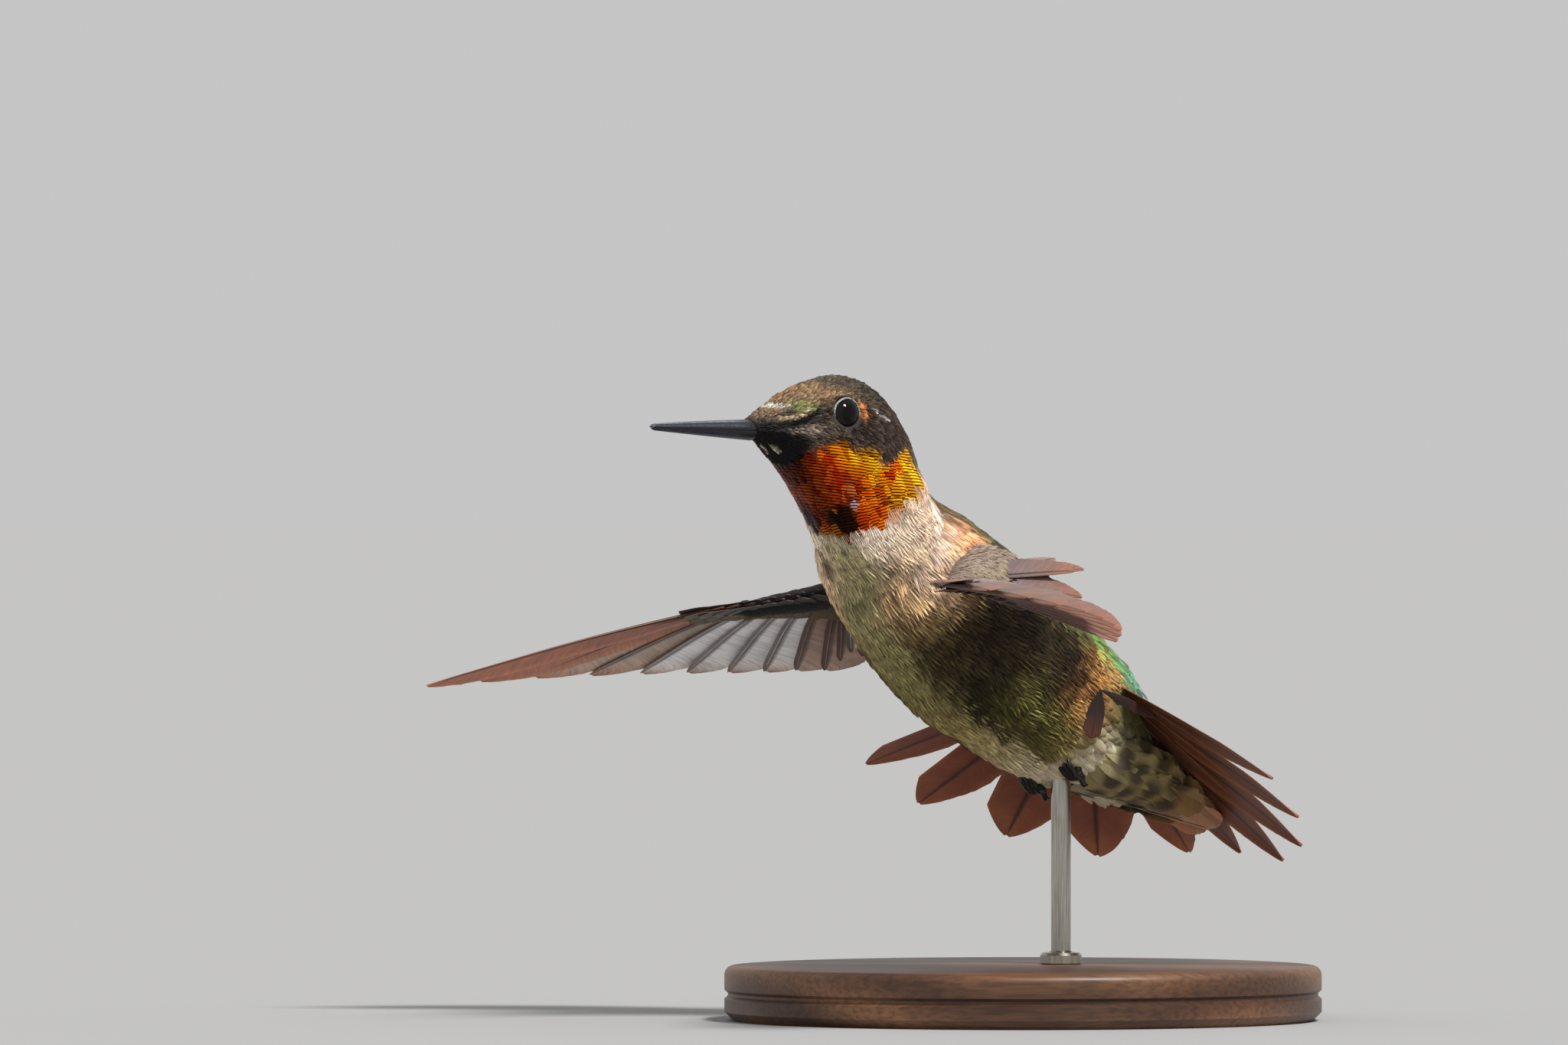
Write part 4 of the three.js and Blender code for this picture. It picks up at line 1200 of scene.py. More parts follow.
# Name, node, side, shorter than the bill by, depth, droop, colours.
for name, node, sign, shorter, depth, droop, horn in (
        ("bill_ridge_half", "bill_upper", 1, 0.1, 1.05, 0.1, UPPER_HORN),
        ("bill_under_half", "bill_lower", -1, 0.25, 0.84, -0.02, LOWER_HORN)):
    finish_piece(half_bill(name, sign, BILL["length"] - shorter, depth, droop, horn), HORN, "bill_horn", node)
print("bill length, mm:", BILL["length"])

# %% [markdown]
# ## Flight feathers
# A flight feather is a long shaft with a narrow vane ahead and a broad one behind. In flight they
# fan from the hand like the sticks of a fan, each overlapping the next. One function builds a
# feather as a closed blade: thin at its edges, with a rounded ridge where the shaft runs and a ragged
# trailing edge. It can curl down toward its tip and tilt about its shaft. The fans are then laid out
# by angle, as the frame's are.


# %% one flight feather
# Columns of a blade, from the leading edge (-1) by the shaft (0) to the trailing edge (1).
SIDES_OF_VANE = np.array([-1, -0.8, -0.3, -0.1, 0, 0.07, 0.13, 0.4, 0.68, 0.9, 1.0])
TIP_ROWS = 12                 # rows in the last fifth of a feather, where its outline turns fastest
THIN = 0.03                   # half thickness of a vane's edge, in mm


def flight_vane(base, along, across, up, length, width, paint, bow=0.0, point=0.8, lead=0.25, curl=0.04,
                twist=0.1, shaft=0.16, seed=0, ragged=0.025, rows=34, blunt=0.5, root=0.45):
    """A closed blade with a shaft. Across points to the trailing side and up to the upper face.

    Paint gives colours from the place across (-1 to 1) and along (0 to 1), and the face (1 upper, -1 lower).
    """
    chance = np.random.default_rng(seed)
    t = np.concatenate([np.linspace(0, 0.8, rows - TIP_ROWS), np.linspace(0.8, 1, TIP_ROWS + 1)[1:]])
    swell = root + (1 - root) * np.sin(math.pi * np.minimum(0.5, t * 0.9))
    ending = np.clip((t - point) / (1.004 - point), 0, 1)
    tip = (1 - ending ** (1 / blunt)) ** blunt
    full = width * swell
    noise = 1 + ragged * chance.standard_normal(len(t)) * (t > 0.25)
    lead_half = full * lead * np.minimum(1, tip * 1.5)
    trail_half = full * (1 - lead) * tip * noise
    middle = base + np.outer(length * t, along) + np.outer(bow * length * t * t, across) \
        - np.outer(curl * length * t * t, up)
    middle = middle - np.outer((0.5 - lead) * full * 0.8, across)
    rib = shaft * (1 - 0.72 * t)
    tops, unders = [], []
    for x in SIDES_OF_VANE:
        reach = np.where(x < 0, -lead_half, trail_half) * abs(x)
        rise = twist * reach - THIN * full * x * x
        bulk = np.where(abs(x) < 0.01, rib, THIN + THIN * (1 - abs(x)))
        body = middle + reach[:, None] * across + rise[:, None] * up
        tops.append(body + np.outer(bulk, up))
        unders.append(body - np.outer(bulk if abs(x) < 0.999 else bulk * 0.2, up))
    xs = np.concatenate([SIDES_OF_VANE, SIDES_OF_VANE[::-1]])
    side = np.repeat([1.0, -1.0], len(SIDES_OF_VANE))
    x_all, t_all, side_all = np.tile(xs, len(t)), np.repeat(t, len(xs)), np.tile(side, len(t))
    vane = np.stack([x_all, t_all, np.full(len(x_all), seed % 17 / 17.0)], 1)
    points = np.stack(tops + unders[::-1], 1).reshape(-1, 3)
    return points, tube_faces(len(t), len(xs), ends=True), vane, paint(x_all, t_all, side_all)


def join_vanes(name, vanes):
    """Joins feathers into one piece."""
    points, faces = join_parts([vane[:2] for vane in vanes])
    made = new_mesh(name, points, faces, np.concatenate([vane[3] for vane in vanes]),
                    vane=np.concatenate([vane[2] for vane in vanes]))
    with_bmesh(made, lambda work: bmesh.ops.recalc_face_normals(work, faces=work.faces))
    made.data.set_sharp_from_angle(angle=math.radians(60))
    return made


print("points round a feather:", 2 * len(SIDES_OF_VANE))

# %% [markdown]
# ### Colour and barbs of a flight feather
# Each face has its own colours from root to tip, with a pale rim and a dark shaft. The material draws
# the barbs, slanted away from the shaft, and a slow cloudiness. Real barbs are 0.03 mm apart: here
# they are some 0.35 mm apart, so that they show.


# %% paint and material of the vanes
def paint_vane(upper, lower, edge, shaft="#2c1a12", rim=0.6, ahead=0.0):
    """Colours of a vane: along each face, with a rim and a dark shaft.

    Ahead darkens the underside of the leading side: painted shade where the next feather overlaps.
    """
    def paint(x, t, side):
        colour = np.where((side > 0)[:, None], gradient(t, upper), gradient(t, lower))
        colour = blend(colour, soft(np.abs(x), 0.75, 1.0) * rim, linear(edge))
        # painted shade on the leading side's underside, where the next feather overlaps and passes less light
        colour = blend(colour, (side < 0) * ahead * soft(-x, 0.02, 0.3), linear("#4a2e20"))
        return blend(colour, (1 - soft(np.abs(x), 0.03, 0.13)) * 0.95, linear(shaft))
    return paint


def vane_material(name, rough=0.5, sheen=0.2, barbs_show=(0.82, 1.14)):
    """Stiff keratin: fine slanted lines and a faint gloss."""
    made, tree, shader, place_in, vane, tint = new_material(name, "place", "vane", "tint")
    axes = add(tree, "ShaderNodeSeparateXYZ", (vane,), None)
    from_shaft = add(tree, "ShaderNodeMath", (axes["X"],), operation="ABSOLUTE")
    slant = add(tree, "ShaderNodeMath", (from_shaft, -0.1, axes["Y"]), operation="MULTIPLY_ADD")
    line = add(tree, "ShaderNodeCombineXYZ", (slant, from_shaft, axes["Z"]))
    # Stretched to 75 barbs along a feather, nearly unbroken across it, and different on each.
    stretched = add(tree, "ShaderNodeVectorMath", (line, (75.0, 1.2, 40.0)), operation="MULTIPLY")
    barbs = add(tree, "ShaderNodeTexNoise", {"Vector": stretched, "Scale": 1.0, "Detail": 2.0}, "Fac")
    # A coarse pattern, 3.5 mm across: no feather is of one tone from root to tip.
    cloud = add(tree, "ShaderNodeTexNoise", {"Vector": place_in, "Scale": 1 / (3.5 * MM), "Detail": 2.0}, "Fac")
    set_inputs(tree, shader, {
        "Base Color": toned(tree, tint, (barbs, 0.3, 0.7, *barbs_show), (cloud, 0.3, 0.7, 0.85, 1.15)),
        "Roughness": rough, "Sheen Weight": sheen,
        "Normal": add(tree, "ShaderNodeBump", {"Strength": 0.25, "Distance": 0.03 * MM, "Height": barbs}),
    })
    return made


# Clear lines and a little sheen: the wing's vanes look crisp and dry.
FLIGHT_LOOK = vane_material("stiff_flight_vanes", sheen=0.05, barbs_show=(0.76, 1.2))
# Closer knit and duller: the tail's vanes look smooth and solid.
TAIL_LOOK = vane_material("stiff_tail_vanes", rough=0.55, sheen=0.0, barbs_show=(0.9, 1.08))
# Loose and matt: the undertail coverts look like brushed silk.
UNDER_LOOK = vane_material("silky_covert_vanes", rough=0.65, sheen=0.1, barbs_show=(0.88, 1.1))
print("materials so far:", len(bpy.data.materials))

# %% [markdown]
# ## Wings: the layout
# Ten primaries spread from the hand and six secondaries from the short forearm. Their directions run
# from the leading feather, near the line of the arm, to the innermost, which points back at the body.
# A fan could be posed feather by feather, but a few angles for each wing keep its steps even. The far
# wing's vanes follow the fan's surface, and the near wing's lie level.

# %% layout of the wings
PRIMARIES = {"count": 10, "longest": 32.3, "grow": 1.15}
SECONDARIES = {"count": 6, "longest": 13, "shortest": 10.5, "reach": 0.8}
MID_VANE = 10.0               # a feather lies along its neighbours this far from its root, in mm
NEXT = 0.08                   # a step in the spread, over which a fan's slope is read
# Azimuths of the lead, the inner end and the root, their rises, and what the middle adds, in degrees.
# Ease is how soon along the forearm the root's rise is reached. Turn says which side of a vane is up,
# and droop how far the leading feathers roll about their shafts.
WINGS = {
    "right": {"joints": np.array([(-13.4, 3.2, 44.6), (-16.9, 4.3, 43.8), (-31.2, 7.2, 41.0)]),
              "lead": 158.5, "inner": 94.8, "root": 72, "mid_turn": -6,
              "lead_rise": -13.4, "inner_rise": -33, "root_rise": -33, "mid_rise": 4, "ease": 1.0,
              "shortest": 15.5, "curl": 0.0, "turn": -1, "twist": 0.14, "droop": 13, "inner_length": 1.0,
              "widths": [4.4, 5.8, 6.0] + [5.4] * 7 + [5.0] * 6,
              "coverts": (3.2, 2.2), "covert_width": 3.4, "arm_feather": 0.8},
    "left": {"joints": np.array([(-4.8, -6.8, 46.4), (-6.2, -11.2, 45.2), (-7.8, -24.4, 43.6)]),
             "lead": -92, "inner": -18, "root": 10, "mid_turn": 0,
             "lead_rise": 3, "inner_rise": -18, "root_rise": 6, "mid_rise": 2, "ease": 0.34,
             "shortest": 17.6, "curl": 0.03, "turn": 1, "twist": 0.1, "droop": 0, "inner_length": 0.93,
             "widths": [4.4] * 4 + [3.6] * 6 + [2.9] * 6,
             "coverts": (3.2, 5.0), "covert_width": 2.8, "arm_feather": 1.4},
}


def unit_at(azimuth, rise):
    a, e = math.radians(azimuth), math.radians(rise)
    return np.array([math.cos(e) * math.cos(a), math.cos(e) * math.sin(a), math.sin(e)])


def spread_at(wing, where):
    """Direction of a flight feather: 0 is the leading primary, 1 the innermost, 2 the last secondary."""
    hand = min(1.0, where)
    forearm = where - hand
    middle = math.sin(math.pi * hand)
    azimuth = wing["lead"] + (wing["inner"] - wing["lead"]) * hand \
        + (wing["root"] - wing["inner"]) * forearm + wing["mid_turn"] * middle
    rise = wing["lead_rise"] + (wing["inner_rise"] - wing["lead_rise"]) * hand \
        + (wing["root_rise"] - wing["inner_rise"]) * soft(forearm, 0, wing["ease"]) \
        + wing["mid_rise"] * middle
    return unit_at(azimuth, rise)


def root_at(wing, where):
    """A feather's root on the hand (0 to 1) or the forearm (1 to 2)."""
    shoulder, wrist, hand_tip = wing["joints"]
    hand = min(1.0, where)
    return hand_tip + (wrist - hand_tip) * hand + (shoulder - wrist) * (where - hand) * SECONDARIES["reach"]


def wing_axes(wing, where):
    """Along, across toward the trailing side, and up, for a feather of the wing."""
    along = spread_at(wing, where)
    before, after = max(0, where - NEXT), where + NEXT
    across = root_at(wing, after) - root_at(wing, before)
    across = across + MID_VANE * (spread_at(wing, after) - spread_at(wing, before))
    # The near wing's vanes lie level, tilting toward the viewer between its two groups.
    if wing["turn"] > 0:
        across = np.cross(unit(0.0, -0.2 - 0.45 * math.exp(-((where - 1.25) / 0.35) ** 2), 1.0), along)
    across = normalised(across - along * (across @ along))
    up = wing["turn"] * np.cross(along, across)
    droop = math.radians(wing["droop"]) * max(0.0, 1 - 1.5 * where)
    return (along, across * math.cos(droop) - up * math.sin(droop),
            up * math.cos(droop) + across * math.sin(droop))


def feather_places(wing):
    """Root, place in the spread, length and width of each flight feather, from the tip of the hand inward."""
    longest, shortest = SECONDARIES["longest"], SECONDARIES["shortest"]
    for i in range(PRIMARIES["count"]):
        inward = i / (PRIMARIES["count"] - 1)
        length = wing["shortest"] \
            + (PRIMARIES["longest"] - wing["shortest"]) * (1 - inward) ** PRIMARIES["grow"]
        yield root_at(wing, inward), inward, length, wing["widths"][i]
    for i in range(SECONDARIES["count"]):
        inward = (i + 1) / SECONDARIES["count"]
        length = (longest + (shortest - longest) * inward + 0.6 * (-1) ** i) * wing["inner_length"]
        yield root_at(wing, 1 + inward), 1 + inward, length, wing["widths"][PRIMARIES["count"] + i]


print("feathers in a wing:", PRIMARIES["count"] + SECONDARIES["count"])

# %% [markdown]
# ## Wings: the flight feathers
# The upper face is mauve-brown with rusty edges. The lower face of the far wing is painted paler, as
# painted light that comes through its thin vanes: they run from brown at the tip by near white to mauve
# at the root, with painted shade on each leading side, where the next feather overlaps. The near wing's
# lower face is one mauve-brown, painted lighter as painted light on its shaded side. Each feather lies
# a little below the next outer one.

# %% flight feathers
STACK = 0.08                  # how far each feather lies below the next outer one, in mm
RUSTY = 3                     # the outermost feathers, whose rims are rusty and stronger
UPPER_FACE = [(0, "#6a5a56"), (0.35, "#7c6c6e"), (0.7, "#82665c"), (1, "#94604a")]
# The near wing's lower face is painted lighter than its own tone: painted light on its shaded side.
NEAR_UNDERSIDE = [(0, "#8a746c"), (0.5, "#a8887c"), (1, "#a87c64")]
BROWN_VANE = [(0, "#6e3c24"), (0.4, "#a85a34"), (0.8, "#b8663e"), (1, "#b86a48")]
MIXED_VANE = [(0, "#6a5448"), (0.4, "#b09a88"), (0.8, "#c8ac98"), (1, "#b8785a")]
PALE_VANE = [(0, "#9a908a"), (0.3, "#f4f2f4"), (0.75, "#ffffff"), (0.93, "#ecdcd4"), (1, "#b08c78")]
MAUVE_VANE = [(0, "#5c4436"), (0.4, "#9a7866"), (0.8, "#c0a090"), (1, "#c8ac9c")]
# Undersides of the far wing by feather, from its tip inward. The near white of the pale ones is painted
# light that comes through the vanes.
UNDERSIDES = [BROWN_VANE] * 2 + [MIXED_VANE] * 2 + [PALE_VANE] * 4 + [MAUVE_VANE] * 3 + [PALE_VANE] * 5
for wing_name, wing in WINGS.items():
    far = wing_name == "right"
    vanes = []
    for i, (root, where, length, width) in enumerate(feather_places(wing)):
        along, across, up = wing_axes(wing, where)
        edge, rim = ("#d08452", 0.7) if i < RUSTY else ("#a8785c", 0.3)
        paint = paint_vane(UPPER_FACE, UNDERSIDES[i] if far else NEAR_UNDERSIDE, edge,
                           rim=rim if far else 0.0, ahead=0.85 * far)
        vanes.append(flight_vane(
            root - up * STACK * i, along, across, up, length, width, paint, bow=0.05 * (1 - min(1, where)),
            lead=0.1, twist=wing["twist"], seed=i + (53 if far else 3), shaft=0.2, curl=wing["curl"],
            point=0.72 if far or where <= 1 else 0.5, blunt=0.6))
    count = PRIMARIES["count"]
    for group_name, group in (("primaries", vanes[:count]), ("secondaries", vanes[count:])):
        finish_piece(join_vanes(f"{group_name}_{wing_name}", group), FLIGHT_LOOK, "flight_feathers",
                     f"wing_{wing_name}_{group_name}")
    print(wing_name, "wing:", len(vanes), "flight feathers")

# %% [markdown]
# ## Wings: the greater coverts
# One row of short feathers above and one below cover the roots of the flight feathers, so that no gap
# shows between them. They are the same blades, shorter and rounder.

# %% greater coverts
COVERT_ABOVE = [(0, "#8e7c74"), (0.5, "#988680"), (1, "#907870")]
COVERT_BELOW = [(0, "#18140e"), (0.5, "#3a3020"), (1, "#64502f")]
COVERT_CLEAR = 0.32           # how far a covert lies off the feather that it covers, in mm
for wing_name, wing in WINGS.items():
    cover = []
    for i, (root, where, length, width) in enumerate(feather_places(wing)):
        along, across, up = wing_axes({**wing, "ease": 1.0}, where)
        for face, edge, longer in ((1, "#866e62", 0.6), (-1, "#5a4a30", 0)):
            reach = wing["coverts"][0] + wing["coverts"][1] * min(1, where) + longer
            cover.append(flight_vane(
                root + up * (face * COVERT_CLEAR - STACK * i) - along * 0.5, along, across, up, reach,
                wing["covert_width"], paint_vane(COVERT_ABOVE, COVERT_BELOW, edge, rim=0.2),
                lead=0.4, curl=-0.03 * face, seed=90 + i, rows=22, shaft=0.07, point=0.7, twist=0.08))
    finish_piece(join_vanes("greater_coverts_" + wing_name, cover), FLIGHT_LOOK, "wing_coverts")
    print(wing_name, "wing:", len(cover), "greater coverts")

# %% [markdown]
# ## Wings: the arm
# The arm is short and flat, and clothed in small lesser coverts. It is lofted from shoulder by wrist
# to the hand's tip, coloured by how far round a place lies, and grown over by the coat's tree. Where
# feathers would stand on end, at the front and rear edges and past the wrist, none are set.

# %% the arm
ARM_WIDTHS = np.array([[3.2], [2.7], [0.9]])       # half widths in mm at shoulder, wrist and hand's tip
ARM_DEPTHS = np.array([[1.7], [1.3], [0.6]])
ARM_TRAIL = 0.55              # how far the arm lies behind the line of its joints, in half widths
ARM_ROWS, ARM_COLUMNS = 70, 48
# Colours from the front edge (-1) to the rear edge (1).
# The near (left) arm's upper face is painted pale, as painted light where the sun falls on it; the far arm's
# keeps a dark tone.
ARM_ABOVE = {"right": [(-1, "#2c2830"), (-0.3, "#4c443c"), (1, "#6c5e48")],
             "left": [(-1, "#a8948a"), (-0.3, "#a08e80"), (1, "#948468")]}
ARM_BELOW = [(-1, "#4a3c3a"), (-0.93, "#2c262a"), (-0.82, "#1c1a20"), (0.1, "#24221f"), (0.5, "#4a402c"),
             (1, "#5c5038")]


def arm_chord(wing):
    """The way across the arm, from its front edge to its rear edge."""
    return unit_at(wing["inner"], wing["inner_rise"])


def arm_surface(wing, t, turn, sink):
    """Points on the arm: t runs from shoulder (0) by wrist (1) to the hand's tip (2)."""
    joints = wing["joints"]
    ahead = normalised(joints[2] - joints[0])
    chord = arm_chord(wing)
    thick = normalised(np.cross(ahead, chord))
    wide = smooth(ARM_WIDTHS, t) - sink
    deep = smooth(ARM_DEPTHS, t) - sink
    centre = smooth(joints, t) + chord * wide * ARM_TRAIL
    return centre + chord * wide * np.cos(turn)[:, None] + thick * deep * np.sin(turn)[:, None]


for wing_name, wing in WINGS.items():
    t, turn = (a.ravel() for a in np.meshgrid(np.linspace(0, 2, ARM_ROWS),
                                              np.linspace(-math.pi, math.pi, ARM_COLUMNS + 1), indexing="ij"))
    arm_points = arm_surface(wing, t, turn, 0.3)
    arm_faces = grid_faces(ARM_ROWS, ARM_COLUMNS + 1)
    rearward = np.cos(turn)
    top_sign = np.sign(np.cross(wing["joints"][2] - wing["joints"][0], arm_chord(wing)) @ TRUNK_UP)
    upper = soft(np.sin(turn) * top_sign, -0.25, 0.25)
    arm_colour = blend(gradient(rearward, ARM_BELOW), upper, gradient(rearward, ARM_ABOVE[wing_name]))
    arm_lie = normalised(np.stack([
        spread_at(wing, 2 - x) + 0.6 * unit_at(wing["lead"], wing["lead_rise"]) for x in t
    ]))
    _, arm_normal, _ = grid_slopes(arm_points, ARM_ROWS, ARM_COLUMNS + 1)
    lying = 1 - soft(np.abs((arm_lie * arm_normal).sum(1)), 0.55, 0.75)
    lying *= (1 - soft(np.abs(rearward), 0.8, 0.92)) * (1 - soft(t, 1.55, 1.75))
    arm_lie = laid_on(arm_lie, arm_normal)
    arm_long = wing["arm_feather"] + 0.8 * (rearward + 1) / 2
    arm_size = np.stack([0.7 * arm_long, arm_long, 0.5 * arm_long], 1) * MM
    finish_piece(outward(new_mesh("arm_skin_" + wing_name, arm_points, arm_faces, arm_colour)), SKIN_LOOK,
                 "wing_coverts", f"wing_{wing_name}_arm")
    arm_base = facing_out(new_mesh("arm_base", arm_points, arm_faces, arm_colour, lie=arm_lie, here=lying,
                                   size=arm_size, bake=bake_places(2 - t, turn, 0, 2)))
    finish_piece(grow("lesser_coverts_" + wing_name, arm_base, ARM_DOWN, Vane=VANES["tuft"], Spacing=0.4 * MM,
                      Lift=0.03, Splay=0.12, Size_spread=0.2, Seed=17), None, "wing_coverts")
    bpy.data.objects.remove(arm_base)

# %% [markdown]
# ## Tail
# Ten tail feathers open into a fan that is cupped toward the belly. They are broader than the
# primaries, with rounded points, and a warm brown that darkens along the shaft and near the root.

# %% tail
TAIL = {
    "root": np.array([7.0, 10.0, 34.0]), "back": unit(0.528, 0.434, -0.7315),
    "right": unit(-0.616, 0.788, 0.019), "lengths": [24, 26.5, 27.5, 28, 28],
    "widths": [7.4, 7.8, 7.4, 6.2, 5.0], "spacing": 0.35, "stack": 0.08,
}
# Spread and cup are in degrees. Outer scales the outermost feather's length.
TAIL_HALVES = {
    "right": {"side": 1, "spread": [7, 31.3, 50.6, 69.9, 89.2], "cup": 31, "outer": 0.94, "point": 0.7},
    "left": {"side": -1, "spread": [12, 27.6, 43.2, 58.8, 74.4], "cup": 15.7, "outer": 1.0, "point": 0.5},
}
# The far (right) half's lower face is painted brighter than the near half's, as painted light on its shaded
# side; the pale rims of both halves are painted highlights on lit edges.
TAIL_PAINT = {
    "right": paint_vane([(0, "#42200f"), (0.4, "#6e3822"), (0.8, "#84462e"), (1, "#9a5438")],
                        [(0, "#42200f"), (0.45, "#7e4028"), (0.8, "#9a5438"), (1, "#b86e4a")],
                        "#c07850", "#3c1c10", 0.5),
    "left": paint_vane([(0, "#3a2418"), (0.4, "#5c3a2a"), (1, "#7c4c36")],
                       [(0, "#3a2418"), (0.4, "#6a4030"), (1, "#8a543c")], "#b87850", "#2c1a14", 0.65),
}
STRAY_PAINT = paint_vane([(0, "#120a08"), (0.5, "#2a1610"), (1, "#5c2e1c")], [(0, "#2a1610"), (1, "#5c2e1c")],
                         "#5c2e1c", rim=0)
# Two stray coverts at the root of the near half's outermost feather: direction, length, width. They are
# painted near black, as painted shade: they fill the shaded wedge at the fan's root.
STRAY_ROOT, STRAY_UP = np.array([7.8, -0.3, 33.2]), unit(0.3, -1, 0)
STRAYS = [(unit(-0.2, 0.1, -1), 5.0, 1.9), (unit(1, 0.75, -0.5), 7.5, 1.1)]


def tail_direction(half, degrees_off):
    up = normalised(np.cross(TAIL["back"], TAIL["right"]))
    dip = math.radians(half["cup"]) * (degrees_off / 90) ** 1.5
    off = math.radians(degrees_off)
    return TAIL["back"] * math.cos(off) * math.cos(dip) \
        + TAIL["right"] * half["side"] * math.sin(off) * math.cos(dip) - up * math.sin(dip)


for half_name, half in TAIL_HALVES.items():
    vanes = []
    for i, (off, length, width) in enumerate(zip(half["spread"], TAIL["lengths"], TAIL["widths"])):
        along = tail_direction(half, off)
        across = normalised(tail_direction(half, off - 3) - tail_direction(half, off + 3))
        up = np.cross(along, across)
        up = up if up @ TRUNK_UP > 0 else -up
        root = TAIL["root"] + TAIL["right"] * half["side"] * TAIL["spacing"] * i + up * TAIL["stack"] * i
        length *= half["outer"] if i == 4 else 1
        vanes.append(flight_vane(
            root, along, across, up, length, width, TAIL_PAINT[half_name], lead=0.44, curl=0.0, twist=-0.04,
            shaft=0.2, seed=120 + i + 10 * half["side"], ragged=0.015, point=half["point"], blunt=0.72,
            root=0.4,
        ))
    for aim, length, width in STRAYS if half_name == "left" else ():
        vanes.append(flight_vane(
            STRAY_ROOT, aim, np.cross(aim, STRAY_UP), STRAY_UP, length, width, STRAY_PAINT,
            lead=0.5, curl=0.0, twist=0.0, shaft=0.05, seed=160, point=0.8, blunt=0.7, root=0.1,
        ))
    finish_piece(join_vanes("tail_fan_" + half_name, vanes), TAIL_LOOK, "tail_feathers", "tail_" + half_name)
    print(half_name, "half of the tail:", len(vanes), "vanes")

# %% [markdown]
# ## Feathers under the tail
# Long soft coverts close the gap between belly and tail. They are pale, with soft dusky spots in rows
# that run on from feather to feather. They lie on a small skin of their own, in five rows like tiles,
# each row's joints over the middles of the row before.

# %% skin under the tail
UNDER_ROWS, UNDER_COLUMNS = 60, 60
UNDER_END = len(UNDERTAIL) - 1
UNDER_COLOURS = [(0, "#c4bc94"), (1.2, "#a49c70"), (3, "#9c9468"), (4, "#a88a68")]
place_u, angle_u, points_u = grid_on(UNDERTAIL, 0, UNDER_END, UNDER_ROWS, UNDER_COLUMNS,
                                     lambda p, a: 0 * p + 0.5)
under_skin = new_mesh("undertail_skin", points_u, grid_faces(UNDER_ROWS, UNDER_COLUMNS + 1),
                      gradient(place_u, UNDER_COLOURS))
set_bake_map(under_skin, 0, UNDER_END, place_u, angle_u)
finish_piece(outward(under_skin), SKIN_LOOK, "undertail_plumage", "undertail_coverts")
print("skin under the tail:", len(under_skin.data.polygons), "faces")

# %% [markdown]
# ### Coverts under the tail
# Spots are painted by place on the form and not by feather, so a spot's two halves meet where one
# covert overlaps the next.

# %% undertail coverts
UNDER_PACE, UNDER_RADIUS = 4.2, 4.0     # millimetres for a row of the form, and half its width
SPOT_ROWS = [(0.75, 20), (1.35, 45), (1.95, 20), (2.5, 45)]     # place along and first angle
SPOT_STEP, SPOT_SIZE = 50, (1.3, 1.05)                         # degrees, and half sizes in mm
# Rows of coverts: place along, how many, length, width, ground colour.
COVERT_ROWS = [(2.9, 5, 4.4, 2.4, "#c89674"), (2.2, 7, 5.0, 3.2, "#9c7c4c"), (1.5, 8, 5.0, 3.6, "#948650"),
               (0.8, 10, 5.0, 3.6, "#9c905a"), (0.1, 11, 4.8, 3.4, "#a69c70")]


def paint_covert(ground, start, turn, length, width):
    """Pale silk with its part of the dusky spots."""
    def paint(x, t, side):
        colour = gradient(t, [(0, ground), (0.9, ground), (1, "#b09a68")])
        place_here = start + t * length / UNDER_PACE
        degrees_here = np.degrees(turn) + np.degrees(x * width / 2 / UNDER_RADIUS)
        for row, first in SPOT_ROWS:
            off = (degrees_here - first + SPOT_STEP / 2) % SPOT_STEP - SPOT_STEP / 2
            oval = spot(np.radians(off) * UNDER_RADIUS, (place_here - row) * UNDER_PACE, (0, 0),
                        SPOT_SIZE, 0.4)
            colour = blend(colour, 0.85 * oval, linear("#30271a"))
        return blend(colour, (1 - soft(np.abs(x), 0, 0.1)) * 0.15, linear("#6a5a3c"))
    return paint


cover = []
for row_number, (start, count, length, width, ground) in enumerate(COVERT_ROWS):
    for k in range(count):
        turn = math.pi + math.radians(240) * ((k + 0.5) / count - 0.5 + 0.06 * (row_number % 2 - 0.5))
        turn = (turn + math.pi) % (2 * math.pi) - math.pi
        spots = surface(UNDERTAIL, np.array([start, start + 0.1, start, start]),
                        np.array([turn, turn, turn - 0.05, turn + 0.05]), 0.35)
        along = normalised(spots[1] - spots[0])
        across = normalised(spots[3] - spots[2])
        out = normalised(np.cross(across, along))
        out = out if out @ (spots[0] - smooth(UNDERTAIL, np.array([start]))[0, :3]) > 0 else -out
        along = normalised(along + 0.03 * out)
        cover.append(flight_vane(
            spots[0], along, np.cross(out, along), out, length, width,
            paint_covert(ground, start, turn, length, width), lead=0.5, curl=0.05, twist=0.0, shaft=0.05,
            seed=300 + 11 * row_number + k, rows=24, ragged=0.05, point=0.62, blunt=0.6, root=0.55,
        ))
finish_piece(join_vanes("undertail_vanes", cover), UNDER_LOOK, "undertail_plumage")
print("coverts under the tail:", len(cover))

# %% [markdown]
# ## Feet
# The feet are tiny, black and folded against the belly: a short shank, three toes forward and one
# back, each with a hooked claw. Tubes swept along bent paths are enough, with rings for the scales.


# %% feet
def tube(path, radii, sides=10, rows=26):
    """A closed tube through points, with a radius at each, ringed by its scales."""
    path = np.array(path, float)
    where = np.linspace(0, len(path) - 1, rows)
    middle = smooth(path, where)
    radius = np.interp(where, np.arange(len(path)), radii)
    radius = radius * (1 + 0.08 * np.cos(where * 22))
    heading = normalised(np.gradient(middle, axis=0))
    first = normalised(np.cross(heading, TRUNK_LEFT + 0.01))
    second = np.cross(heading, first)
    turn = np.linspace(0, 2 * math.pi, sides, endpoint=False)
    ring = first[:, None] * np.cos(turn)[None, :, None] + second[:, None] * np.sin(turn)[None, :, None]
    net = middle[:, None] + ring * radius[:, None, None]
    return net.reshape(-1, 3), tube_faces(rows, sides, ends=True)


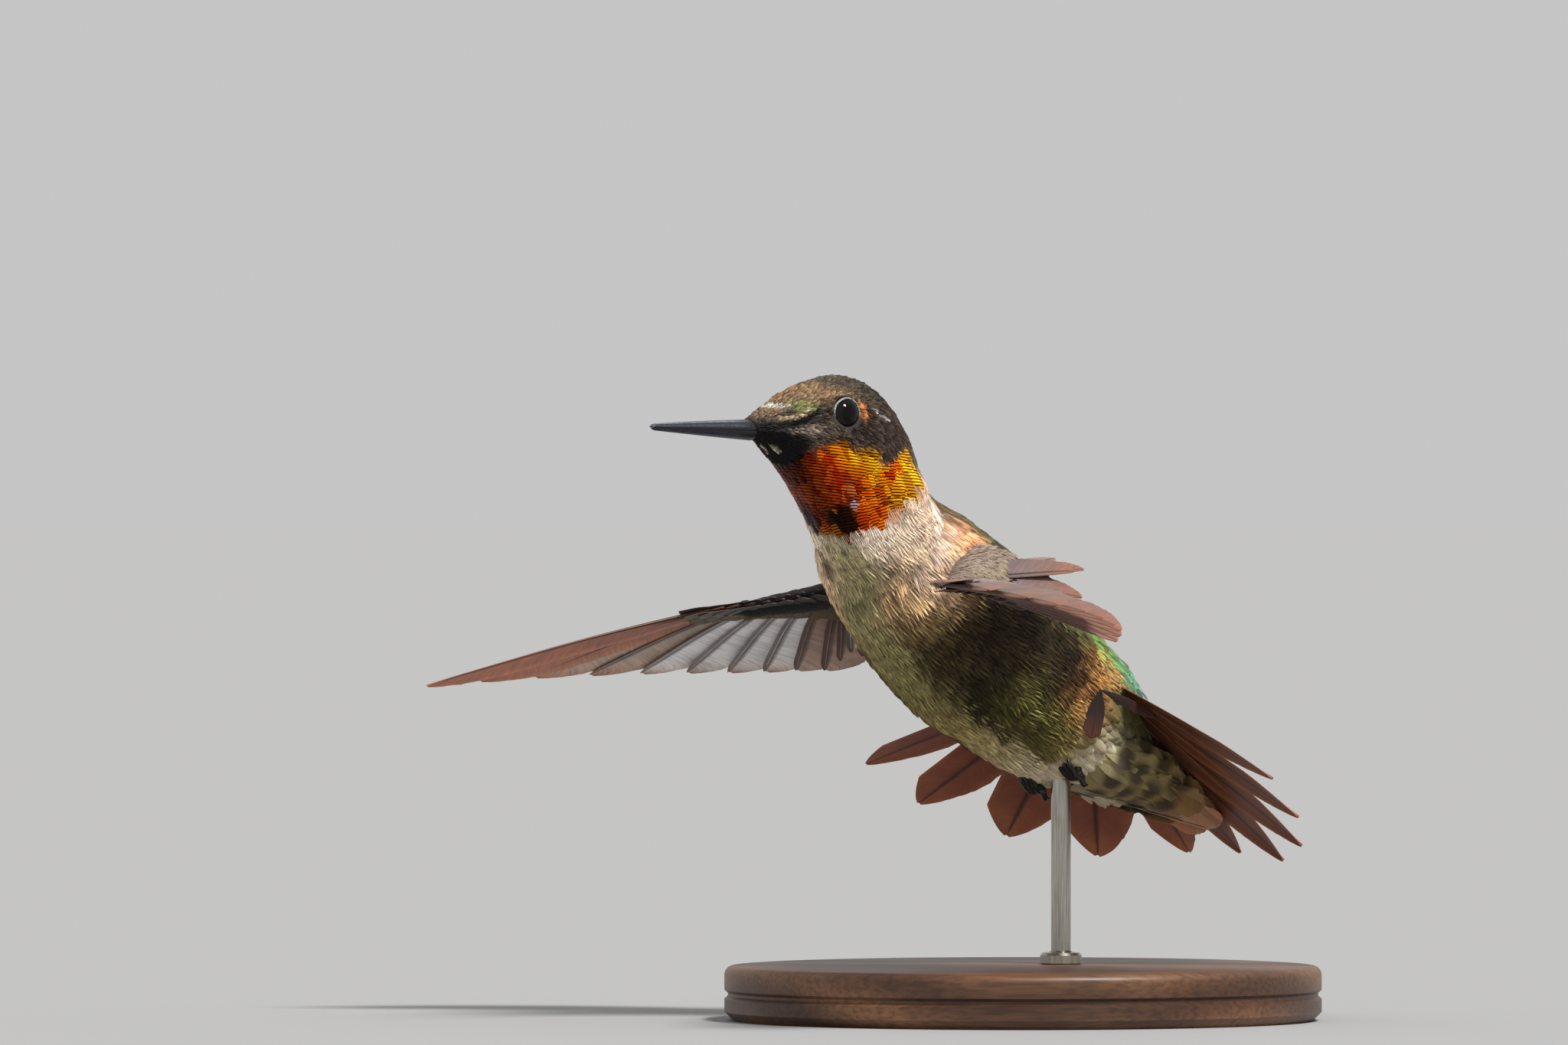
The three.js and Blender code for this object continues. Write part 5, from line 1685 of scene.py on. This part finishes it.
# Horny scutes: black and slightly waxy, paler in the creases, so the toes look jointed.
SCUTES = beaded_material("black_leg_scutes", 0.18, 0.03, 0.4,
                         [(0.0, "#1a1614"), (0.7, "#0c0a0a"), (1.0, "#3a342e")])
FOOT = {"along": -18, "place": 12.5, "aside": 1.5, "apart": 2.6, "heel": 0.9, "clear": 0.3}
# Paths: forward of the foot and aside in mm, and how far below the heel, with a radius at each point.
ANKLE = (-0.2, 0, 0.1)
SHANK = [(1.8, 0, -2.6), (0.7, 0, -0.4), ANKLE], [0.5, 0.45, 0.42]
HIND_TOE = [ANKLE, (-0.9, 0, 0.5), (-1.4, 0, 0.2)], [0.36, 0.3, 0.05]
TOES = [([ANKLE, (0.7, out * 0.7, 0.7), (2.0, out, 0.45), (2.5, out, 0.15), (2.6, out, -0.2)],
         [0.4, 0.36, 0.28, 0.16, 0.04]) for out in (-0.75, 0.0, 0.75)]
for name, side in (("left", 1), ("right", -1)):
    reach = FOOT["aside"] + FOOT["apart"] * side
    row = smooth(BODY, np.array([FOOT["place"]]))[0]
    heel = row[5] * math.sqrt(1 - (reach / row[3]) ** 2) + FOOT["heel"] - FOOT["clear"]
    parts = [tube([on_trunk(FOOT["along"] + forward, -(heel + drop)) + TRUNK_LEFT * (reach + aside)
                   for forward, aside, drop in path], radii) for path, radii in (SHANK, *TOES, HIND_TOE)]
    foot = outward(new_mesh("foot_" + name, *join_parts(parts)))
    finish_piece(foot, SCUTES, "leg_scales", "leg_" + name)
    print(name, "foot:", len(parts), "parts")

# %% [markdown]
# ## Stand
# The bird flies, so a plain stand holds it: a turned wooden base and one slim steel rod up to the
# belly. A turned base is a profile spun round its axis. Wood shows year rings cut by the lathe, and
# an oiled finish that is satin rather than shiny.


# %% wood and steel
def wood_material():
    """Walnut turned on a lathe and oiled: warm year rings and fine pores under a satin surface."""
    made, tree, shader, place_in = new_material("oiled_walnut", "place")
    bent = add(tree, "ShaderNodeMapping", {"Vector": place_in, "Location": (0.03, 0.012, 0.0),
                                           "Rotation": (0.12, 1.45, 0.1)})
    # A coarse warp, some 17 mm long: a trunk's rings are never true circles.
    warp = add(tree, "ShaderNodeTexNoise", {"Vector": bent, "Scale": 60.0, "Detail": 2.0}, "Color")
    moved = add(tree, "ShaderNodeVectorMath", (warp, (0.004, 0.004, 0.004), bent), operation="MULTIPLY_ADD")
    # Year rings are drawn 7.5 mm apart, coarse as in a fast-grown trunk: 2 pi times the 1.2 mm below.
    rings = add(tree, "ShaderNodeTexWave", {"Vector": moved, "Scale": 1 / (1.2 * MM) / 20, "Distortion": 1.5,
                                            "Detail": 3.0}, "Fac", wave_type="RINGS", rings_direction="Z")
    grain = add(tree, "ShaderNodeMapping", {"Vector": place_in, "Scale": (0.08, 1.0, 1.0)})
    pores = add(tree, "ShaderNodeTexNoise", {"Vector": grain, "Scale": 1 / (0.4 * MM), "Detail": 3.0}, "Fac")
    wood = add(tree, "ShaderNodeValToRGB", (rings,),
               stops=[(0.0, "#4a2f1e"), (0.5, "#64422a"), (1.0, "#7a5336")])
    set_inputs(tree, shader, {
        "Base Color": toned(tree, wood, (pores, 0.35, 0.6, 0.6, 1.05)),
        "Roughness": 0.42,
        "Normal": add(tree, "ShaderNodeBump", {"Strength": 0.3, "Distance": 0.05 * MM, "Height": pores}),
    })
    return made


def steel_material():
    """Stainless rod drawn through a die: fine lines along it that stretch its highlight."""
    made, tree, shader, place_in = new_material("drawn_steel", "place")
    drawn = add(tree, "ShaderNodeMapping", {"Vector": place_in, "Scale": (1.0, 1.0, 0.04)})
    lines = add(tree, "ShaderNodeTexNoise", {"Vector": drawn, "Scale": 1 / (0.15 * MM), "Detail": 2.0}, "Fac")
    set_inputs(tree, shader, {
        "Base Color": add(tree, "ShaderNodeValToRGB", (lines,), stops=[(0.3, "#9a968c"), (0.7, "#c4c0b6")]),
        "Metallic": 1.0, "Roughness": 0.28,
    })
    return made


WOOD, STEEL = wood_material(), steel_material()
print("materials in all so far:", len(bpy.data.materials))

# %% [markdown]
# ### Base and rod
# The base has a rounded shoulder and a fine groove low on its edge. The rod stands in a small foot and
# reaches up to where the frame's own rod ends, inside the belly.


# %% base and rod
def turned_piece(name, profile, x, y, around, material, slot, node):
    """A turned part of the stand, upright over a place in mm, from (height, radius) points."""
    made = outward(revolved(name, profile, np.array([x, y, 0.0]), np.eye(3), around))
    made.data.set_sharp_from_angle(angle=math.radians(35))
    finish_piece(made, material, slot, node)


STAND = {"radius": 30.0, "height": 5.5, "round": 0.9, "groove": 0.35, "rod": (3.9, 4.6), "rod_radius": 1.0}
AXIS = 0.01                   # a profile ends this close to its axis, in mm
edge, top, bend = STAND["radius"], STAND["height"], STAND["round"]
shoulder = [(top - bend * (1 - math.cos(a)), edge - bend * (1 - math.sin(a)))
            for a in np.linspace(math.pi / 2, 0, 7)]
turned_piece("stand_turned_base", [
    (0, AXIS), (0, edge - 0.9), (0.9, edge), (2.2, edge), (2.5, edge - STAND["groove"]),
    (2.8, edge - STAND["groove"]), (3.1, edge), *shoulder, (top, AXIS),
], 0.0, 0.0, 160, WOOD, "stand_wood", "stand_base")

rod_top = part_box("stand_rod")[1].z / MM
turned_piece("stand_steel_rod", [
    (top + 0.02, AXIS), (top + 0.02, 2.0), (top + 0.12, 2.1), (top + 0.9, 2.1), (top + 1.15, 1.9),
    (top + 1.25, 1.15), (top + 1.4, STAND["rod_radius"]), (rod_top, STAND["rod_radius"]), (rod_top, AXIS),
], *STAND["rod"], 48, STEEL, "stand_steel", "stand_rod")
for vane in VANES.values():
    bpy.data.objects.remove(vane)
print("top of the rod, mm:", round(rod_top, 1))

# %% [markdown]
# ## Floor, light and camera
# A plain pale floor reaches to the horizon, and the world is lit to the same pale tone, so that no
# line cuts the picture. One broad sun stands for a large soft box high in front, on the right, and the
# pale world fills its shadows. The camera stands level with the bird and far off with a long lens,
# which keeps the near wing from looming.

# %% stage
SKY = 0.56                    # the world's brightness, which the floor is matched to
FLOOR_TONE = 0.412
FLOOR_REACH = 200000.0        # half the floor's width, in mm


def stage_material():
    """Matt paper: no gloss, and a faint mottle, so the floor looks soft and has no edge."""
    made, tree, shader, place_in = new_material("pale_studio_floor", "place")
    grain = add(tree, "ShaderNodeTexNoise", {"Vector": place_in, "Scale": 1 / (2 * MM), "Detail": 1.0}, "Fac")
    set_inputs(tree, shader, {
        "Base Color": add(tree, "ShaderNodeMapRange",
                          (grain, 0.0, 1.0, FLOOR_TONE * 0.995, FLOOR_TONE * 1.005)),
        "Roughness": 1.0, "Specular IOR Level": 0.0,
    })
    return made


corners = [(x * FLOOR_REACH, y * FLOOR_REACH, 0) for x, y in ((-1, -1), (1, -1), (1, 1), (-1, 1))]
floor = new_mesh("floor", corners, [(0, 1, 2, 3)])
floor.data.materials.append(stage_material())
floor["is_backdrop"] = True

world = bpy.data.worlds.new("studio")
world.use_nodes = True
set_inputs(world.node_tree, world.node_tree.nodes["Background"],
           {"Color": (1.0, 1.0, 1.0, 1), "Strength": SKY})
bpy.context.scene.world = world
bpy.context.scene.view_settings.view_transform = "Standard"
print("world's brightness:", SKY, "and floor's tone:", FLOOR_TONE)

# %% [markdown]
# ### Sun and camera
# The sun is broad, 12 degrees across, so shadows have soft edges. The lens is worked out from the
# width that the picture should show at the bird.

# %% sun and camera
SUN = {"strength": 3.2, "spread": 12, "azimuth": 36, "elevation": 52, "colour": (1.0, 0.99, 0.975)}
CAMERA_AT = (-24.0, -1500.0, 50.0)     # in mm
FRAME_WIDTH = 157.5                    # width of the picture at the bird, in mm

light = bpy.data.lights.new("key", "SUN")
light.energy, light.angle, light.color = SUN["strength"], math.radians(SUN["spread"]), SUN["colour"]
key = bpy.data.objects.new("key", light)
# Azimuth 0 comes from the viewer, 90 from the right.
away = Vector(unit_at(SUN["azimuth"] - 90, SUN["elevation"]))
key.rotation_euler = away.to_track_quat("Z", "Y").to_euler()
bpy.context.scene.collection.objects.link(key)

camera = bpy.data.cameras.new("camera")
camera.sensor_width = 36
camera.lens = camera.sensor_width * -CAMERA_AT[1] / FRAME_WIDTH
camera.clip_end = 1000
viewer = bpy.data.objects.new("camera", camera)
viewer.location = [x * MM for x in CAMERA_AT]
viewer.rotation_euler = (math.pi / 2, 0, 0)
bpy.context.scene.collection.objects.link(viewer)
bpy.context.scene.camera = viewer
print("lens:", round(camera.lens, 1))

# %% [markdown]
# ## Sizes and finish
# The dressed bird must fill the frame it was given and no more, so both boxes are written down.

# %% write the sizes and finish
NEW_BOX = [list(corner_at) for corner_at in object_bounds()]
print("grown by mm:", [[round((b - a) / MM, 2) for a, b in zip(*pair)] for pair in zip(CAD_BOX, NEW_BOX)])
